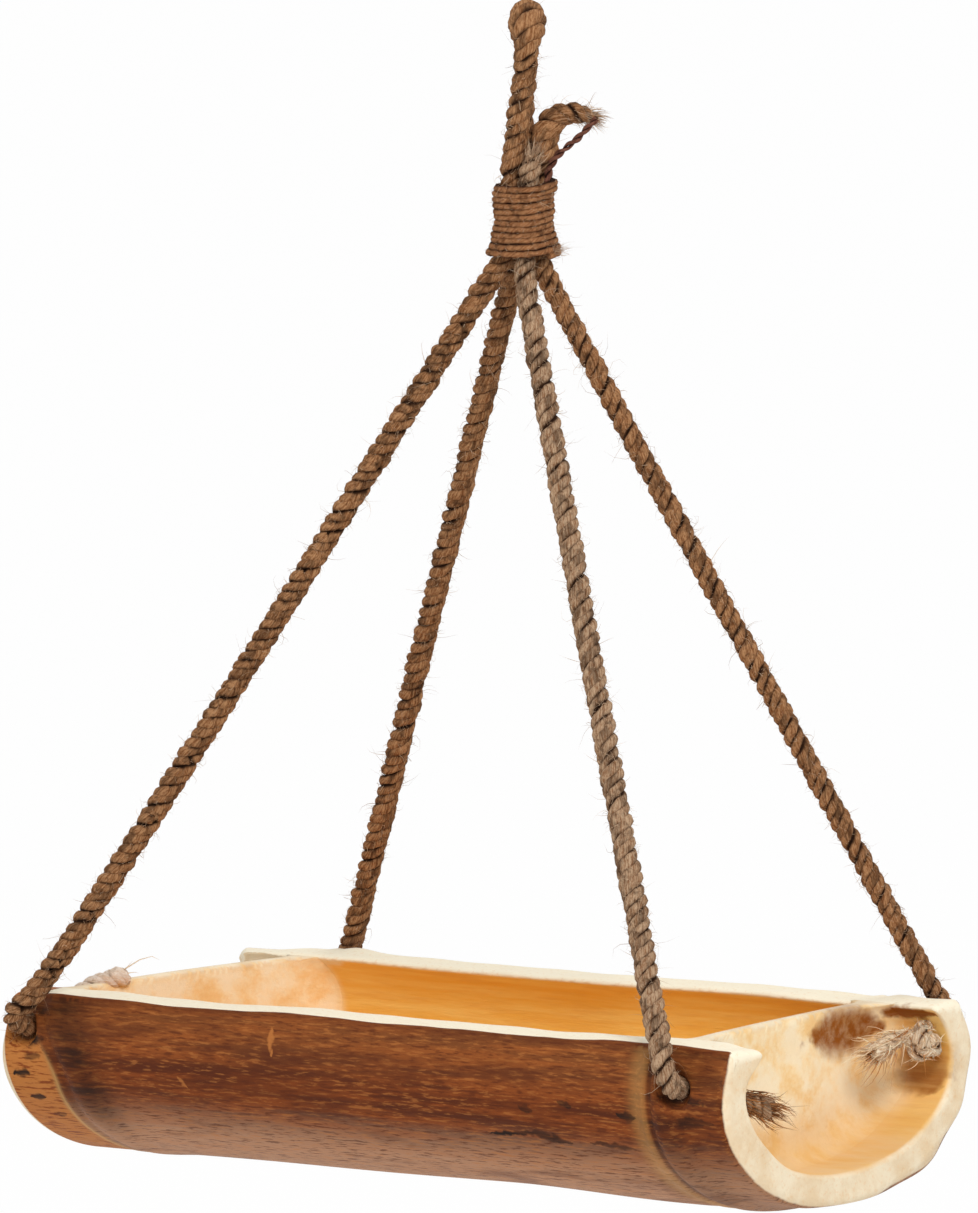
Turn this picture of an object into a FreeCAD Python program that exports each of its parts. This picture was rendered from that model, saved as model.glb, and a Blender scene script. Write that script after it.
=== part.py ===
import FreeCAD, Part
import math
import os

# Hanging bird feeder: a culm of bamboo cut open along its top, hung level by four jute ropes.
# Sizes are in millimetres. The origin is where a hook bears inside the loop at the top,
# +X runs along the culm to its right end, +Y to its back and +Z up.

# Culm: an oval tube of bamboo, open above the rim plane
culm_length = 226.0
culm_half_width = 50.0
culm_half_height = 31.4
wall = 8.7
rim_above_axis = 13.0
end_rounding = 2.6
bore_edge_rounding = 1.2

# Where the culm hangs below the loop, and how far off the loop its middle lies along X
rim_drop = 238.7
culm_middle_x = -23.3

# Nodes, each as far from its end of the culm: the scar and ridge round the skin, and the woody
# wall that closes the bore there
right_node_inset = 21.2
left_node_inset = 21.0
left_node_slant = 13.5
plate_thickness = 3.0
right_plate_dish = 1.5
left_plate_dish = 4.5
plate_fillet = 2.0
scar_offset = -3.6
scar_width = 2.0
scar_height = 1.0
crest_offset = 1.5
ridge_height = 1.7
ridge_spread = 8.0
ring_root = 1.2

# Rope holes in the end pockets: how far each lies from its end of the culm and below the rim
front_left_hole_inset = 6.5
front_left_hole_drop = 8.2
back_left_hole_inset = 23.5
back_left_hole_drop = 12.0
front_right_hole_inset = 15.8
front_right_hole_drop = 10.0
back_right_hole_inset = 7.3
back_right_hole_drop = 9.0

# Rope, and the knots that hold it inside the pockets
rope_diameter = 5.8
hole_clearance = 0.5
hole_mouth_growth = 2.2
knot_setback = 0.9
knot_turn_reach = 5.2
knot_length = 9.5
first_turn_place = 4.9
second_turn_place = 8.4
knot_turn_tilt = 18.0
tail_diameter = 4.6
strand_gap = 0.1

# Whipping: the twine wound round the four strands below the loop
whipping_base = (-3.4, 0.0, -55.7)
head_lean = 3.5
whipping_height = 19.5
whipping_turns = 12
twine_diameter = 1.6
twine_wrap = 1.3
bore_clearance = 0.2
mouth_height = 6.5
mouth_flare = 1.1

# Rope routes between the holes and the loop or the rope's cut end, corner by corner
left_rope_route = [
    (-6.8, -3.4, -55.5),
    (-5.9, -3.0, -49.0),
    (-5.2, -3.0, -36.6),
    (-2.9, -2.9, -28.7),
    (-1.4, -2.9, -22.3),
    (0.7, -2.6, -15.8),
    (3.1, -2.2, -10.0),
    (6.1, -4.5, -3.6),
    (3.1, -2.2, 2.8),
    (-2.8, 2.2, 3.0),
    (-5.8, 4.5, -3.4),
    (-2.9, 2.3, -10.0),
    (-3.5, 2.4, -15.6),
    (-4.2, 2.4, -21.4),
    (-5.1, 2.8, -28.5),
    (-5.2, 3.0, -36.6),
    (-5.9, 3.0, -49.0),
    (-6.8, 3.4, -55.5),
]
front_right_rope_route = [
    (0.0, -3.4, -55.9),
    (-0.1, -3.0, -49.4),
    (0.7, -3.0, -36.9),
    (3.1, -2.0, -29.5),
]
back_right_rope_route = [
    (0.0, 3.4, -55.9),
    (-0.1, 3.0, -49.4),
    (0.7, 3.0, -36.9),
    (1.4, 3.9, -30.0),
    (2.8, 4.4, -24.4),
    (6.4, 6.5, -20.3),
    (9.6, 8.8, -20.8),
    (12.2, 10.7, -22.3),
]

# Where each rope's line lies just outside its hole, from the hole's mouth on the skin
front_left_turn = (3.2, -3.6, 4.3)
back_left_turn = (2.5, 3.8, 4.5)
front_right_turn = (0.1, -3.8, 4.7)
back_right_turn = (-2.0, 3.8, 4.7)

# Knots: how far each lies along X from its hole, and its loose tail from the rope's end
knots = {
    "knot_front_left": (-2.9, [(-1.4, 6.0, 1.5), (0.0, 14.0, 7.5), (1.0, 21.0, 10.5)]),
    "knot_back_left": (-3.3, [(-2.4, -6.0, -1.2), (-4.4, -13.0, -4.5), (-8.0, -18.0, -6.5)]),
    "knot_front_right": (2.1, [(2.5, 6.0, -1.5), (6.5, 12.0, -5.5), (11.0, 18.0, -8.5)]),
    "knot_back_right": (1.8, [(1.0, -6.0, 0.8), (0.5, -13.5, 2.6), (-1.2, -23.0, 3.2)]),
}
twine_tail_route = [(7.4, 0.0, 18.6), (10.5, 0.4, 22.0), (16.4, 0.8, 31.6)]


def vector(point):
    """FreeCAD vector of a listed point."""
    return FreeCAD.Vector(*point)


def in_hole(inset, drop, end, side):
    """Rope's place in its hole: the knot's end inside the bore, then the mouth on the skin."""
    x = culm_middle_x + end * (0.5 * culm_length - inset)
    z = -rim_drop - drop
    seat = culm_half_width - wall - knot_setback
    return [(x, side * seat, z), (x, side * culm_half_width, z)]


def from_hole(hole, turn):
    """Rope's first three corners: knot, hole mouth and the turn onto its straight run."""
    return hole + [tuple(a + b for a, b in zip(hole[1], turn))]


def section_wire(grow, x=0.0, slant=0.0):
    """Closed oval round the culm's axis, grown outwards, in a plane turned about the vertical."""
    across = FreeCAD.Vector(math.tan(math.radians(slant)), 1, 0)
    centre = FreeCAD.Vector(x, 0, 0)
    side = centre + across * (culm_half_width + grow)
    top = centre + FreeCAD.Vector(0, 0, culm_half_height + grow)
    return Part.Wire([Part.Ellipse(side, top, centre).toShape()])


def oval_prism(grow, x_start, x_end):
    """Straight length of the culm's oval between two places along it."""
    face = Part.Face(section_wire(grow, x_start))
    return face.extrude(FreeCAD.Vector(x_end - x_start, 0, 0))


def node_ring(x, slant):
    """Scar and ridge round the skin, lofted through ovals that follow the node's slant."""
    scar = x + scar_offset
    crest = x + crest_offset
    profile = [
        (scar - scar_width, -ring_root),
        (scar - 0.3 * scar_width, 0.8 * scar_height),
        (scar + 0.2 * scar_width, scar_height),
        (scar + 0.8 * scar_width, 0.5 * scar_height),
        (crest - 0.8 * scar_width, 0.9 * ridge_height),
        (crest, ridge_height),
        (crest + 0.3 * ridge_spread, 0.85 * ridge_height),
        (crest + 0.6 * ridge_spread, 0.5 * ridge_height),
        (crest + ridge_spread, 0.1 * ridge_height),
        (crest + 1.2 * ridge_spread, -ring_root),
    ]
    ovals = [section_wire(grow, place, slant) for place, grow in profile]
    return Part.makeLoft(ovals, True, True)


def node_plate(x, slant, dish):
    """Woody wall across the bore: a dished plate of even thickness, revolved about the culm's line."""
    reach = culm_half_width - 0.5 * wall
    half = 0.5 * plate_thickness

    def dished_arc(offset):
        middle = FreeCAD.Vector(offset - 0.75 * dish, 0, 0.5 * reach)
        return Part.Arc(FreeCAD.Vector(offset - dish, 0, 0), middle, FreeCAD.Vector(offset, 0, reach))

    left = dished_arc(-half)
    right = dished_arc(half)
    outline = Part.Wire([
        left.toShape(),
        Part.makeLine(left.EndPoint, right.EndPoint),
        right.toShape(),
        Part.makeLine(right.StartPoint, left.StartPoint),
    ])
    disc = Part.Face(outline).revolve(FreeCAD.Vector(0, 0, 0), FreeCAD.Vector(1, 0, 0), 360)
    disc.rotate(FreeCAD.Vector(0, 0, 0), FreeCAD.Vector(0, 0, 1), -slant)
    disc.translate(FreeCAD.Vector(x, 0, 0))
    return disc.common(oval_prism(-0.5 * wall, -0.5 * culm_length, 0.5 * culm_length))


def rope_hole(rope_end):
    """Hole for one rope through the wall along Y, with a worn, widened mouth on the skin."""
    x = rope_end[0] - culm_middle_x
    z = rope_end[2] + rim_drop + rim_above_axis
    side = math.copysign(1.0, rope_end[1])
    radius = 0.5 * (rope_diameter + hole_clearance)
    outward = FreeCAD.Vector(0, side, 0)
    inside = FreeCAD.Vector(x, side * (culm_half_width - 2.5 * wall), z)
    skin_y = culm_half_width * math.sqrt(1 - (z / culm_half_height) ** 2)
    mouth = FreeCAD.Vector(x, side * (skin_y - hole_mouth_growth), z)
    drill = Part.makeCylinder(radius, 3 * wall, inside, outward)
    depth = 2 * hole_mouth_growth
    flare = Part.makeCone(radius, radius + depth, depth, mouth, outward)
    return drill.fuse(flare)


def bore_edges(body):
    """Edges that go right round the culm's bore."""
    bore_width = 2 * (culm_half_width - wall)
    return [edge for edge in body.Edges if abs(edge.BoundBox.YLength - bore_width) < 0.1]


def bamboo_trough(rope_ends):
    """The culm with both nodes, cut open above the rim and drilled for the ropes."""
    half = 0.5 * culm_length
    right_node_x = half - right_node_inset
    left_node_x = left_node_inset - half
    body = oval_prism(0.0, -half, half)
    ends = [edge for edge in body.Edges if edge.BoundBox.XLength < 0.1]
    body = body.makeFillet(end_rounding, ends)
    body = body.fuse([node_ring(right_node_x, 0.0), node_ring(left_node_x, left_node_slant)])
    body = body.common(Part.makeBox(culm_length, 4 * culm_half_width, 4 * culm_half_width,
                                    FreeCAD.Vector(-half, -2 * culm_half_width, -2 * culm_half_width)))
    body = body.cut(oval_prism(-wall, -half - wall, half + wall))
    mouth_edges = [edge for edge in bore_edges(body) if edge.BoundBox.XLength < 0.1]
    body = body.makeFillet(bore_edge_rounding, mouth_edges)
    body = body.fuse([
        node_plate(right_node_x, 0.0, right_plate_dish),
        node_plate(left_node_x, left_node_slant, left_plate_dish),
    ])
    plate_edges = [edge for edge in bore_edges(body) if edge.BoundBox.XLength > 0.1]
    body = body.makeFillet(plate_fillet, plate_edges)
    above_rim = Part.makeBox(2 * culm_length, 4 * culm_half_width, 4 * culm_half_height,
                             FreeCAD.Vector(-culm_length, -2 * culm_half_width, rim_above_axis))
    body = body.cut(above_rim)
    body = body.cut([rope_hole(end) for end in rope_ends])
    body.translate(FreeCAD.Vector(culm_middle_x, 0, -rim_drop - rim_above_axis))
    return body


def rounded_path(points, name):
    """Straight runs joined by tangent arcs, each as large as its two runs allow."""
    corners = [vector(point) for point in points]
    edges = []
    radii = []
    start = corners[0]
    for before, corner, after in zip(corners, corners[1:], corners[2:]):
        back = before - corner
        ahead = after - corner
        reach = 0.45 * min(back.Length, ahead.Length)
        back.normalize()
        ahead.normalize()
        half_turn = 0.5 * (math.pi - back.getAngle(ahead))
        radius = reach / math.tan(half_turn)
        inward = (back + ahead).normalize()
        middle = corner + inward * (radius / math.cos(half_turn) - radius)
        arc_start = corner + back * reach
        arc_end = corner + ahead * reach
        edges.append(Part.LineSegment(start, arc_start).toShape())
        edges.append(Part.Arc(arc_start, middle, arc_end).toShape())
        radii.append(round(radius, 1))
        start = arc_end
    edges.append(Part.LineSegment(start, corners[-1]).toShape())
    print(name, "arc radii", radii)
    return Part.Wire(edges)


def tube(points, diameter, name):
    """Round tube along a rounded path, its volume compared with section times length."""
    path = rounded_path(points, name)
    start = vector(points[0])
    direction = vector(points[1]) - start
    ring = Part.Wire([Part.makeCircle(0.5 * diameter, start, direction)])
    solid = path.makePipeShell([ring], True, False)
    expected = path.Length * math.pi * diameter ** 2 / 4
    print(name, "length", round(path.Length, 1), "volume ratio", round(solid.Volume / expected, 4))
    return solid


def rope_knot(rope_end, shift, tail, name):
    """Stopper knot: two crossed round turns drawn tight on the rope's end, with a loose tail."""
    inward = -math.copysign(1.0, rope_end[1])
    end = vector(rope_end)
    turn_radius = 0.5 * tail_diameter
    ring_radius = knot_turn_reach - turn_radius
    core = Part.makeCylinder(0.5 * rope_diameter, knot_length, end, FreeCAD.Vector(0, inward, 0))
    turns = []
    for place, tilt in ((first_turn_place, knot_turn_tilt), (second_turn_place, -knot_turn_tilt)):
        centre = end + FreeCAD.Vector(shift, inward * place, 0)
        axis = FreeCAD.Vector(math.sin(math.radians(tilt)), inward, 0.4 * math.sin(math.radians(tilt)))
        turns.append(Part.makeTorus(ring_radius, turn_radius, centre, axis))
    knot = core.fuse(turns)
    middle = FreeCAD.Vector(shift + 0.3, inward * 0.5 * knot_length, 0.2)
    route = [tuple(end + middle)] + [tuple(end + FreeCAD.Vector(*step)) for step in tail]
    knot = knot.fuse(tube(route, tail_diameter, name + " tail"))
    size = 20 * knot_turn_reach
    beyond = Part.makeBox(size, size, size, end - FreeCAD.Vector(0.5 * size, 0 if inward < 0 else size, 0.5 * size))
    return knot.cut(beyond)


def head_placement():
    """Frame of the whipping: up along its axis, leaning towards the right end."""
    return FreeCAD.Placement(vector(whipping_base), FreeCAD.Rotation(FreeCAD.Vector(0, 1, 0), head_lean))


def whipping_twine():
    """Close turns of twine round the four strands, flared at the mouth, with the twine's free end."""
    strand_reach = 0.5 * math.sqrt(2) * (rope_diameter + strand_gap) + 0.5 * rope_diameter
    bore = strand_reach + bore_clearance
    pitch = whipping_height / whipping_turns

    def bore_at(height):
        return bore + mouth_flare * max(0.0, 1.0 - height / mouth_height)

    def valley(turn):
        height = turn * pitch
        return FreeCAD.Vector(bore_at(height) + twine_wrap - 0.55 * twine_diameter, 0, height)

    def crest(turn):
        height = (turn + 0.5) * pitch
        return FreeCAD.Vector(bore_at(height) + twine_wrap, 0, height)

    outside = [Part.Arc(valley(turn), crest(turn), valley(turn + 1)).toShape() for turn in range(whipping_turns)]
    corners = [
        valley(whipping_turns),
        FreeCAD.Vector(bore, 0, whipping_height),
        FreeCAD.Vector(bore, 0, mouth_height),
        FreeCAD.Vector(bore_at(0.0), 0, 0),
        valley(0),
    ]
    inside = [Part.makeLine(a, b) for a, b in zip(corners, corners[1:])]
    winding = Part.Face(Part.Wire(outside + inside)).revolve(FreeCAD.Vector(0, 0, 0), FreeCAD.Vector(0, 0, 1), 360)
    tail = tube(twine_tail_route, twine_diameter, "twine tail")
    whipping = winding.fuse(tail)
    whipping.Placement = head_placement()
    return whipping


def build():
    """Every piece of the feeder by its node's name."""
    holes = {
        "knot_front_left": in_hole(front_left_hole_inset, front_left_hole_drop, -1, -1),
        "knot_back_left": in_hole(back_left_hole_inset, back_left_hole_drop, -1, 1),
        "knot_front_right": in_hole(front_right_hole_inset, front_right_hole_drop, 1, -1),
        "knot_back_right": in_hole(back_right_hole_inset, back_right_hole_drop, 1, 1),
    }
    front_left = from_hole(holes["knot_front_left"], front_left_turn)
    back_left = from_hole(holes["knot_back_left"], back_left_turn)
    front_right = from_hole(holes["knot_front_right"], front_right_turn)
    back_right = from_hole(holes["knot_back_right"], back_right_turn)
    left_rope = front_left + left_rope_route + back_left[::-1]
    pieces = {
        "bamboo_trough": bamboo_trough([hole[0] for hole in holes.values()]),
        "left_rope_and_loop": tube(left_rope, rope_diameter, "left rope"),
        "front_right_rope": tube(front_right + front_right_rope_route, rope_diameter, "front right rope"),
        "back_right_rope": tube(back_right + back_right_rope_route, rope_diameter, "back right rope"),
        "whipping_twine": whipping_twine(),
    }
    for name, (shift, tail) in knots.items():
        pieces[name] = rope_knot(holes[name][0], shift, tail, name)
    return pieces


os.makedirs("parts", exist_ok=True)
for node, shape in build().items():
    print(node, "solids", len(shape.Solids), "valid", shape.isValid(), "volume", round(shape.Volume))
    shape.exportStep(f"parts/{node}.step")
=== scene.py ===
import logging
import math
from dataclasses import dataclass
from enum import Enum

import bmesh
import bpy
import numpy as np
from mathutils import Matrix, Vector


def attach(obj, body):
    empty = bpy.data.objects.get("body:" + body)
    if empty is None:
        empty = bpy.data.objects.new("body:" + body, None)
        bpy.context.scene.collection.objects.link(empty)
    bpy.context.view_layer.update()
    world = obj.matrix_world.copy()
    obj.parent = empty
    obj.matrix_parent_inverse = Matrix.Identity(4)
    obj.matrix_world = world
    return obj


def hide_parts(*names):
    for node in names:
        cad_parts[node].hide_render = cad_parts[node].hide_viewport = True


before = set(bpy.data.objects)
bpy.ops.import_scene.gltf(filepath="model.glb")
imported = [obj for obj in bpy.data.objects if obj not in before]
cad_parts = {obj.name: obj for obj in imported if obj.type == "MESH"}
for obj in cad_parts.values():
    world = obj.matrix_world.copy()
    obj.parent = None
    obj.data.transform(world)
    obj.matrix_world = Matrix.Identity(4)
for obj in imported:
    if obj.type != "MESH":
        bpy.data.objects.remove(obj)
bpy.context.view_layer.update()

MM = 0.001
LOG = logging.getLogger("bird_feeder")

# The rim plane's middle, in millimetres from the inside of the loop's crown
RIM_Z = -238.7
CULM_X = -23.3

Points = np.ndarray
Socket = bpy.types.NodeSocket
Material = bpy.types.Material
Object = bpy.types.Object


class Lay(Enum):
    TAUT = "taut"


class FarEnd(Enum):
    """What is at a rope's other end."""

    OBJECT = "object"
    BARE = "bare"


class Tone(Enum):
    """What a mark does to the bamboo's colour."""

    DARK = "dark"
    PALE = "pale"
    BROWN = "brown"


def srgb(red: float, green: float, blue: float) -> tuple[float, float, float, float]:
    """Linear colour, with alpha, of display values from 0 to 255."""
    display = np.array([red, green, blue]) / 255
    linear = np.where(display <= 0.04045, display / 12.92, ((display + 0.055) / 1.055) ** 2.4)
    return (*linear.tolist(), 1.0)


def smoothstep(low: float, high: float, value: Points) -> Points:
    """Zero below low, one above high and a cubic ease between."""
    t = np.clip((value - low) / (high - low), 0, 1)
    return t * t * (3 - 2 * t)


def bell(value: Points, middle: float, width: float) -> Points:
    """Bell curve: one at the middle and 0.37 at a width from it."""
    return np.exp(-((value - middle) / width) ** 2)


def quarter_round(distance: Points, radius: Points) -> Points:
    """How far a rounded edge lies back at a distance e from it: r - sqrt(r^2 - (r - e)^2), and 0 past r."""
    left = radius - np.minimum(distance, radius)
    return radius - np.sqrt(np.maximum(radius ** 2 - left ** 2, 0))


def unit(vectors: Points) -> Points:
    """Each row divided by its length."""
    return vectors / np.linalg.norm(vectors, axis=-1, keepdims=True)


def between(first: Points, second: Points, share: Points) -> Points:
    """First at a share of zero, second at one, and straight between."""
    return first * (1 - share) + second * share


def spans(line: Points) -> Points:
    """Length travelled along a line at each of its points."""
    return np.concatenate([[0.0], np.cumsum(np.linalg.norm(np.diff(line, axis=0), axis=1))])


def read_off(places: Points, travel: Points, rows: Points) -> Points:
    """Rows, known at the lengths travelled, read off at other places."""
    return np.stack([np.interp(places, travel, column) for column in rows.T], axis=-1)


def evenly(line: Points, step: float) -> Points:
    """The line's points shared out at even steps of about the length given."""
    travel = spans(line)
    count = max(int(round(travel[-1] / step)), 3) + 1
    return read_off(np.linspace(0, travel[-1], count), travel, line)


def soft_noise(value: Points, seed: int, slowest: float = 0.02, fastest: float = 0.4) -> Points:
    """Smooth random wave of one variable, mostly between minus one and one.

    It is the sum of seven sines with random rates and phases, divided by the root of seven.

    Args:
        value: Places to work it out at, usually in millimetres.
        seed: Chooses the rates and phases.
        slowest, fastest: Range of the rates in radians per millimetre.
    """
    waves = 7
    draw = np.random.default_rng(seed)
    rates = draw.uniform(slowest, fastest, waves)
    phases = draw.uniform(0, 2 * math.pi, waves)
    return np.sin(value[..., None] * rates + phases).sum(axis=-1) / math.sqrt(waves)


def grid_quads(rows: int, columns: int, closed: bool = False) -> Points:
    """Four point numbers for each face of a grid that is stored row by row.

    Args:
        rows, columns: Points each way.
        closed: Whether the last column joins the first.
    """
    row = np.arange(rows - 1)[:, None]
    column = np.arange(columns if closed else columns - 1)[None, :]
    beside = (column + 1) % columns
    near, far = row * columns, (row + 1) * columns
    return np.stack([near + column, near + beside, far + beside, far + column], axis=-1).reshape(-1, 4)


def place_object(name: str, data: bpy.types.ID) -> Object:
    """New object of the scene, at the origin."""
    made = bpy.data.objects.new(name, data)
    bpy.context.scene.collection.objects.link(made)
    return made


@dataclass
class Surface:
    """Points, faces and per-point values that grow, patch by patch, into one mesh."""

    points: list
    quads: list
    values: dict
    count: int = 0

    @classmethod
    def empty(cls, *names: str) -> "Surface":
        """Surface with no points yet and the named per-point values."""
        return cls([], [], {name: [] for name in names})

    def add_grid(self, grid: Points, closed: bool = False, flip: bool = False, **values: Points) -> None:
        """Add one patch.

        Args:
            grid: Points by row and column, in millimetres.
            closed: Whether the last column joins the first.
            flip: Whether its faces turn the other way.
            **values: Per-point values, each one number, an array by row and column, or with three parts.
        """
        shape = grid.shape[:2]
        quads = grid_quads(*shape, closed) + self.count
        self.points.append(grid.reshape(-1, 3))
        self.quads.append(quads[:, ::-1] if flip else quads)
        for name, kept in self.values.items():
            value = np.asarray(values.get(name, 0.0), float)
            value = value if value.ndim == 3 else np.broadcast_to(value, shape)[..., None]
            kept.append(value.reshape(-1, value.shape[-1]))
        self.count += shape[0] * shape[1]

    def cap(self, ring: Points, flip: bool = False, **values: Points) -> None:
        """Close an end with thin quads from a ring of points to its middle."""
        middle = ring.mean(axis=0)
        grid = np.stack([ring, 0.5 * (ring + middle), 0.02 * ring + 0.98 * middle])
        self.add_grid(grid, closed=True, flip=flip, **values)

    def build(self, name: str, material: Material, merge: float = 0.0) -> Object:
        """Make the mesh object, at the origin, riding on the root body.

        Args:
            name: Name of the object.
            material: Its finish.
            merge: Points nearer to each other than this, in millimetres, become one.
        """
        points = np.concatenate(self.points) * MM
        quads = np.concatenate(self.quads)
        mesh = bpy.data.meshes.new(name)
        mesh.vertices.add(len(points))
        mesh.vertices.foreach_set("co", points.ravel())
        mesh.loops.add(quads.size)
        mesh.loops.foreach_set("vertex_index", quads.ravel())
        mesh.polygons.add(len(quads))
        mesh.polygons.foreach_set("loop_start", np.arange(len(quads)) * 4)
        mesh.update(calc_edges=True)
        for label, kept in self.values.items():
            value = np.concatenate(kept)
            kind, field = ("FLOAT_VECTOR", "vector") if value.shape[1] == 3 else ("FLOAT", "value")
            layer = mesh.attributes.new(label, kind, "POINT")
            layer.data.foreach_set(field, value.ravel().astype(np.float32))
        if merge:
            joined = bmesh.new()
            joined.from_mesh(mesh)
            bmesh.ops.remove_doubles(joined, verts=joined.verts, dist=merge * MM)
            bmesh.ops.recalc_face_normals(joined, faces=joined.faces)
            joined.to_mesh(mesh)
            joined.free()
        mesh.polygons.foreach_set("use_smooth", np.ones(len(mesh.polygons), bool))
        mesh.materials.append(material)
        mesh.update()
        piece = place_object(name, mesh)
        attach(piece, "root")
        return piece


class Recipe:
    """Short hand for building a node tree."""

    def __init__(self, tree: bpy.types.NodeTree) -> None:
        """Start on an emptied node tree."""
        self.tree = tree
        tree.nodes.clear()

    @classmethod
    def for_material(cls, name: str) -> tuple[Material, "Recipe"]:
        """New material and the recipe for its nodes."""
        material = bpy.data.materials.new(name)
        material.use_nodes = True
        return material, cls(material.node_tree)

    def fill(self, node: bpy.types.Node, sockets: dict) -> bpy.types.Node:
        """Set a node's inputs, by name or number, to values or to other nodes' outputs."""
        for key, value in sockets.items():
            if isinstance(value, Socket):
                self.tree.links.new(value, node.inputs[key])
            else:
                node.inputs[key].default_value = value
        return node

    def node(self, kind: str, sockets: dict | None = None, **settings: object) -> bpy.types.Node:
        """Add a node.

        Args:
            kind: Blender's node type without the ShaderNode prefix.
            sockets: Input name or number to a value or another node's output.
            **settings: Properties of the node.
        """
        made = self.tree.nodes.new("ShaderNode" + kind)
        for key, value in settings.items():
            setattr(made, key, value)
        return self.fill(made, sockets or {})

    def group(self, tree: bpy.types.NodeTree, **sockets: object) -> bpy.types.Node:
        """Placed node group with its inputs."""
        return self.fill(self.node("Group", node_tree=tree), sockets)

    def math(self, operation: str, *values: object) -> Socket:
        """Output of a Math node on up to three values or sockets."""
        return self.node("Math", dict(enumerate(values)), operation=operation).outputs[0]

    def scaled(self, value: object, factor: float, added: object) -> Socket:
        """A value times a factor, plus something."""
        return self.math("MULTIPLY_ADD", value, factor, added)

    def vector(self, operation: str, output: str = "Vector", **sockets: object) -> Socket:
        """Output of a Vector Math node, whose inputs are named first, second and Scale."""
        numbers = {"first": 0, "second": 1}
        inputs = {numbers.get(key, key): value for key, value in sockets.items()}
        return self.node("VectorMath", inputs, operation=operation).outputs[output]

    def mix(self, amount: object, first: object, second: object) -> Socket:
        """Colour between the first and the second by an amount."""
        return self.node("Mix", {0: amount, 6: first, 7: second}, data_type="RGBA").outputs[2]

    def tint(self, colour: object, other: object, mask: Socket, strength: object) -> Socket:
        """Colour with another laid over it where a mask is, at a strength."""
        return self.mix(self.math("MULTIPLY", mask, strength), colour, other)

    def attribute(self, name: str, output: str = "Fac") -> Socket:
        """Per-point value of the mesh."""
        return self.node("Attribute", attribute_name=name).outputs[output]

    def place(self) -> Socket:
        """Object coordinates, in metres."""
        return self.node("TexCoord").outputs["Object"]

    def height(self) -> Socket:
        """Height of the point over the part's origin, in metres."""
        return self.node("SeparateXYZ", {0: self.place()}).outputs[2]

    def noise(self, stretch: tuple[float, float, float], detail: float, rough: float = 0.55,
              where: Socket | None = None) -> Socket:
        """Noise whose lumps are squeezed by a factor each way, on object coordinates or another vector."""
        vector = self.node("Mapping", {"Vector": where or self.place(), "Scale": stretch}).outputs[0]
        sockets = {"Vector": vector, "Scale": 1.0, "Detail": detail, "Roughness": rough}
        return self.node("TexNoise", sockets).outputs[0]

    def band(self, value: object, low: object, high: object) -> Socket:
        """Smooth ramp of a value from zero at low to one at high."""
        sockets = {"Value": value, "From Min": low, "From Max": high}
        return self.node("MapRange", sockets, interpolation_type="SMOOTHSTEP").outputs[0]

    def close(self, kind: str, shader: bpy.types.Node) -> None:
        """Send a shader to the tree's output."""
        self.tree.links.new(shader.outputs[0], self.node(kind).inputs[0])

    def finish(self, colour: Socket, roughness: object, height: Socket, depth: float, gloss: float) -> None:
        """Close the material with a Principled shader.

        Args:
            colour: Base colour.
            roughness: Roughness value or socket.
            height: Bump height.
            depth: Bump distance in millimetres.
            gloss: Specular level.
        """
        bump = self.node("Bump", {"Strength": 1.0, "Distance": depth * MM, "Height": height}).outputs[0]
        sockets = {"Base Color": colour, "Roughness": roughness, "Normal": bump, "Specular IOR Level": gloss}
        self.close("OutputMaterial", self.node("BsdfPrincipled", sockets))


class Effect(Recipe):
    """Node group that finishes share."""

    def __init__(self, name: str, vectors: tuple, numbers: dict, outputs: tuple) -> None:
        """Start the group.

        Args:
            name: Its name.
            vectors: Names of its vector inputs.
            numbers: Its number inputs, name to starting value.
            outputs: Names of its number outputs.
        """
        super().__init__(bpy.data.node_groups.new(name, "ShaderNodeTree"))
        face = self.tree.interface
        for label in vectors:
            face.new_socket(label, in_out="INPUT", socket_type="NodeSocketVector")
        for label, value in numbers.items():
            face.new_socket(label, in_out="INPUT", socket_type="NodeSocketFloat").default_value = value
        for label in outputs:
            face.new_socket(label, in_out="OUTPUT", socket_type="NodeSocketFloat")
        self.entry = self.tree.nodes.new("NodeGroupInput").outputs
        self.leave = self.tree.nodes.new("NodeGroupOutput").inputs


def grain_group() -> bpy.types.NodeTree:
    """Shared effect: fibres that run along a culm, as a fine and a broad streak value."""
    details = {"Fine": 4.0, "Broad": 2.0}
    effect = Effect("lengthwise_fibres", ("Vector",), {"Fine": 1.0, "Broad": 0.25}, tuple(details))
    for name, detail in details.items():
        sockets = {"Vector": effect.entry["Vector"], "Scale": effect.entry[name], "Detail": detail}
        streak = effect.node("TexNoise", {**sockets, "Roughness": 0.6})
        effect.tree.links.new(streak.outputs[0], effect.leave[name])
    return effect.tree


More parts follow.
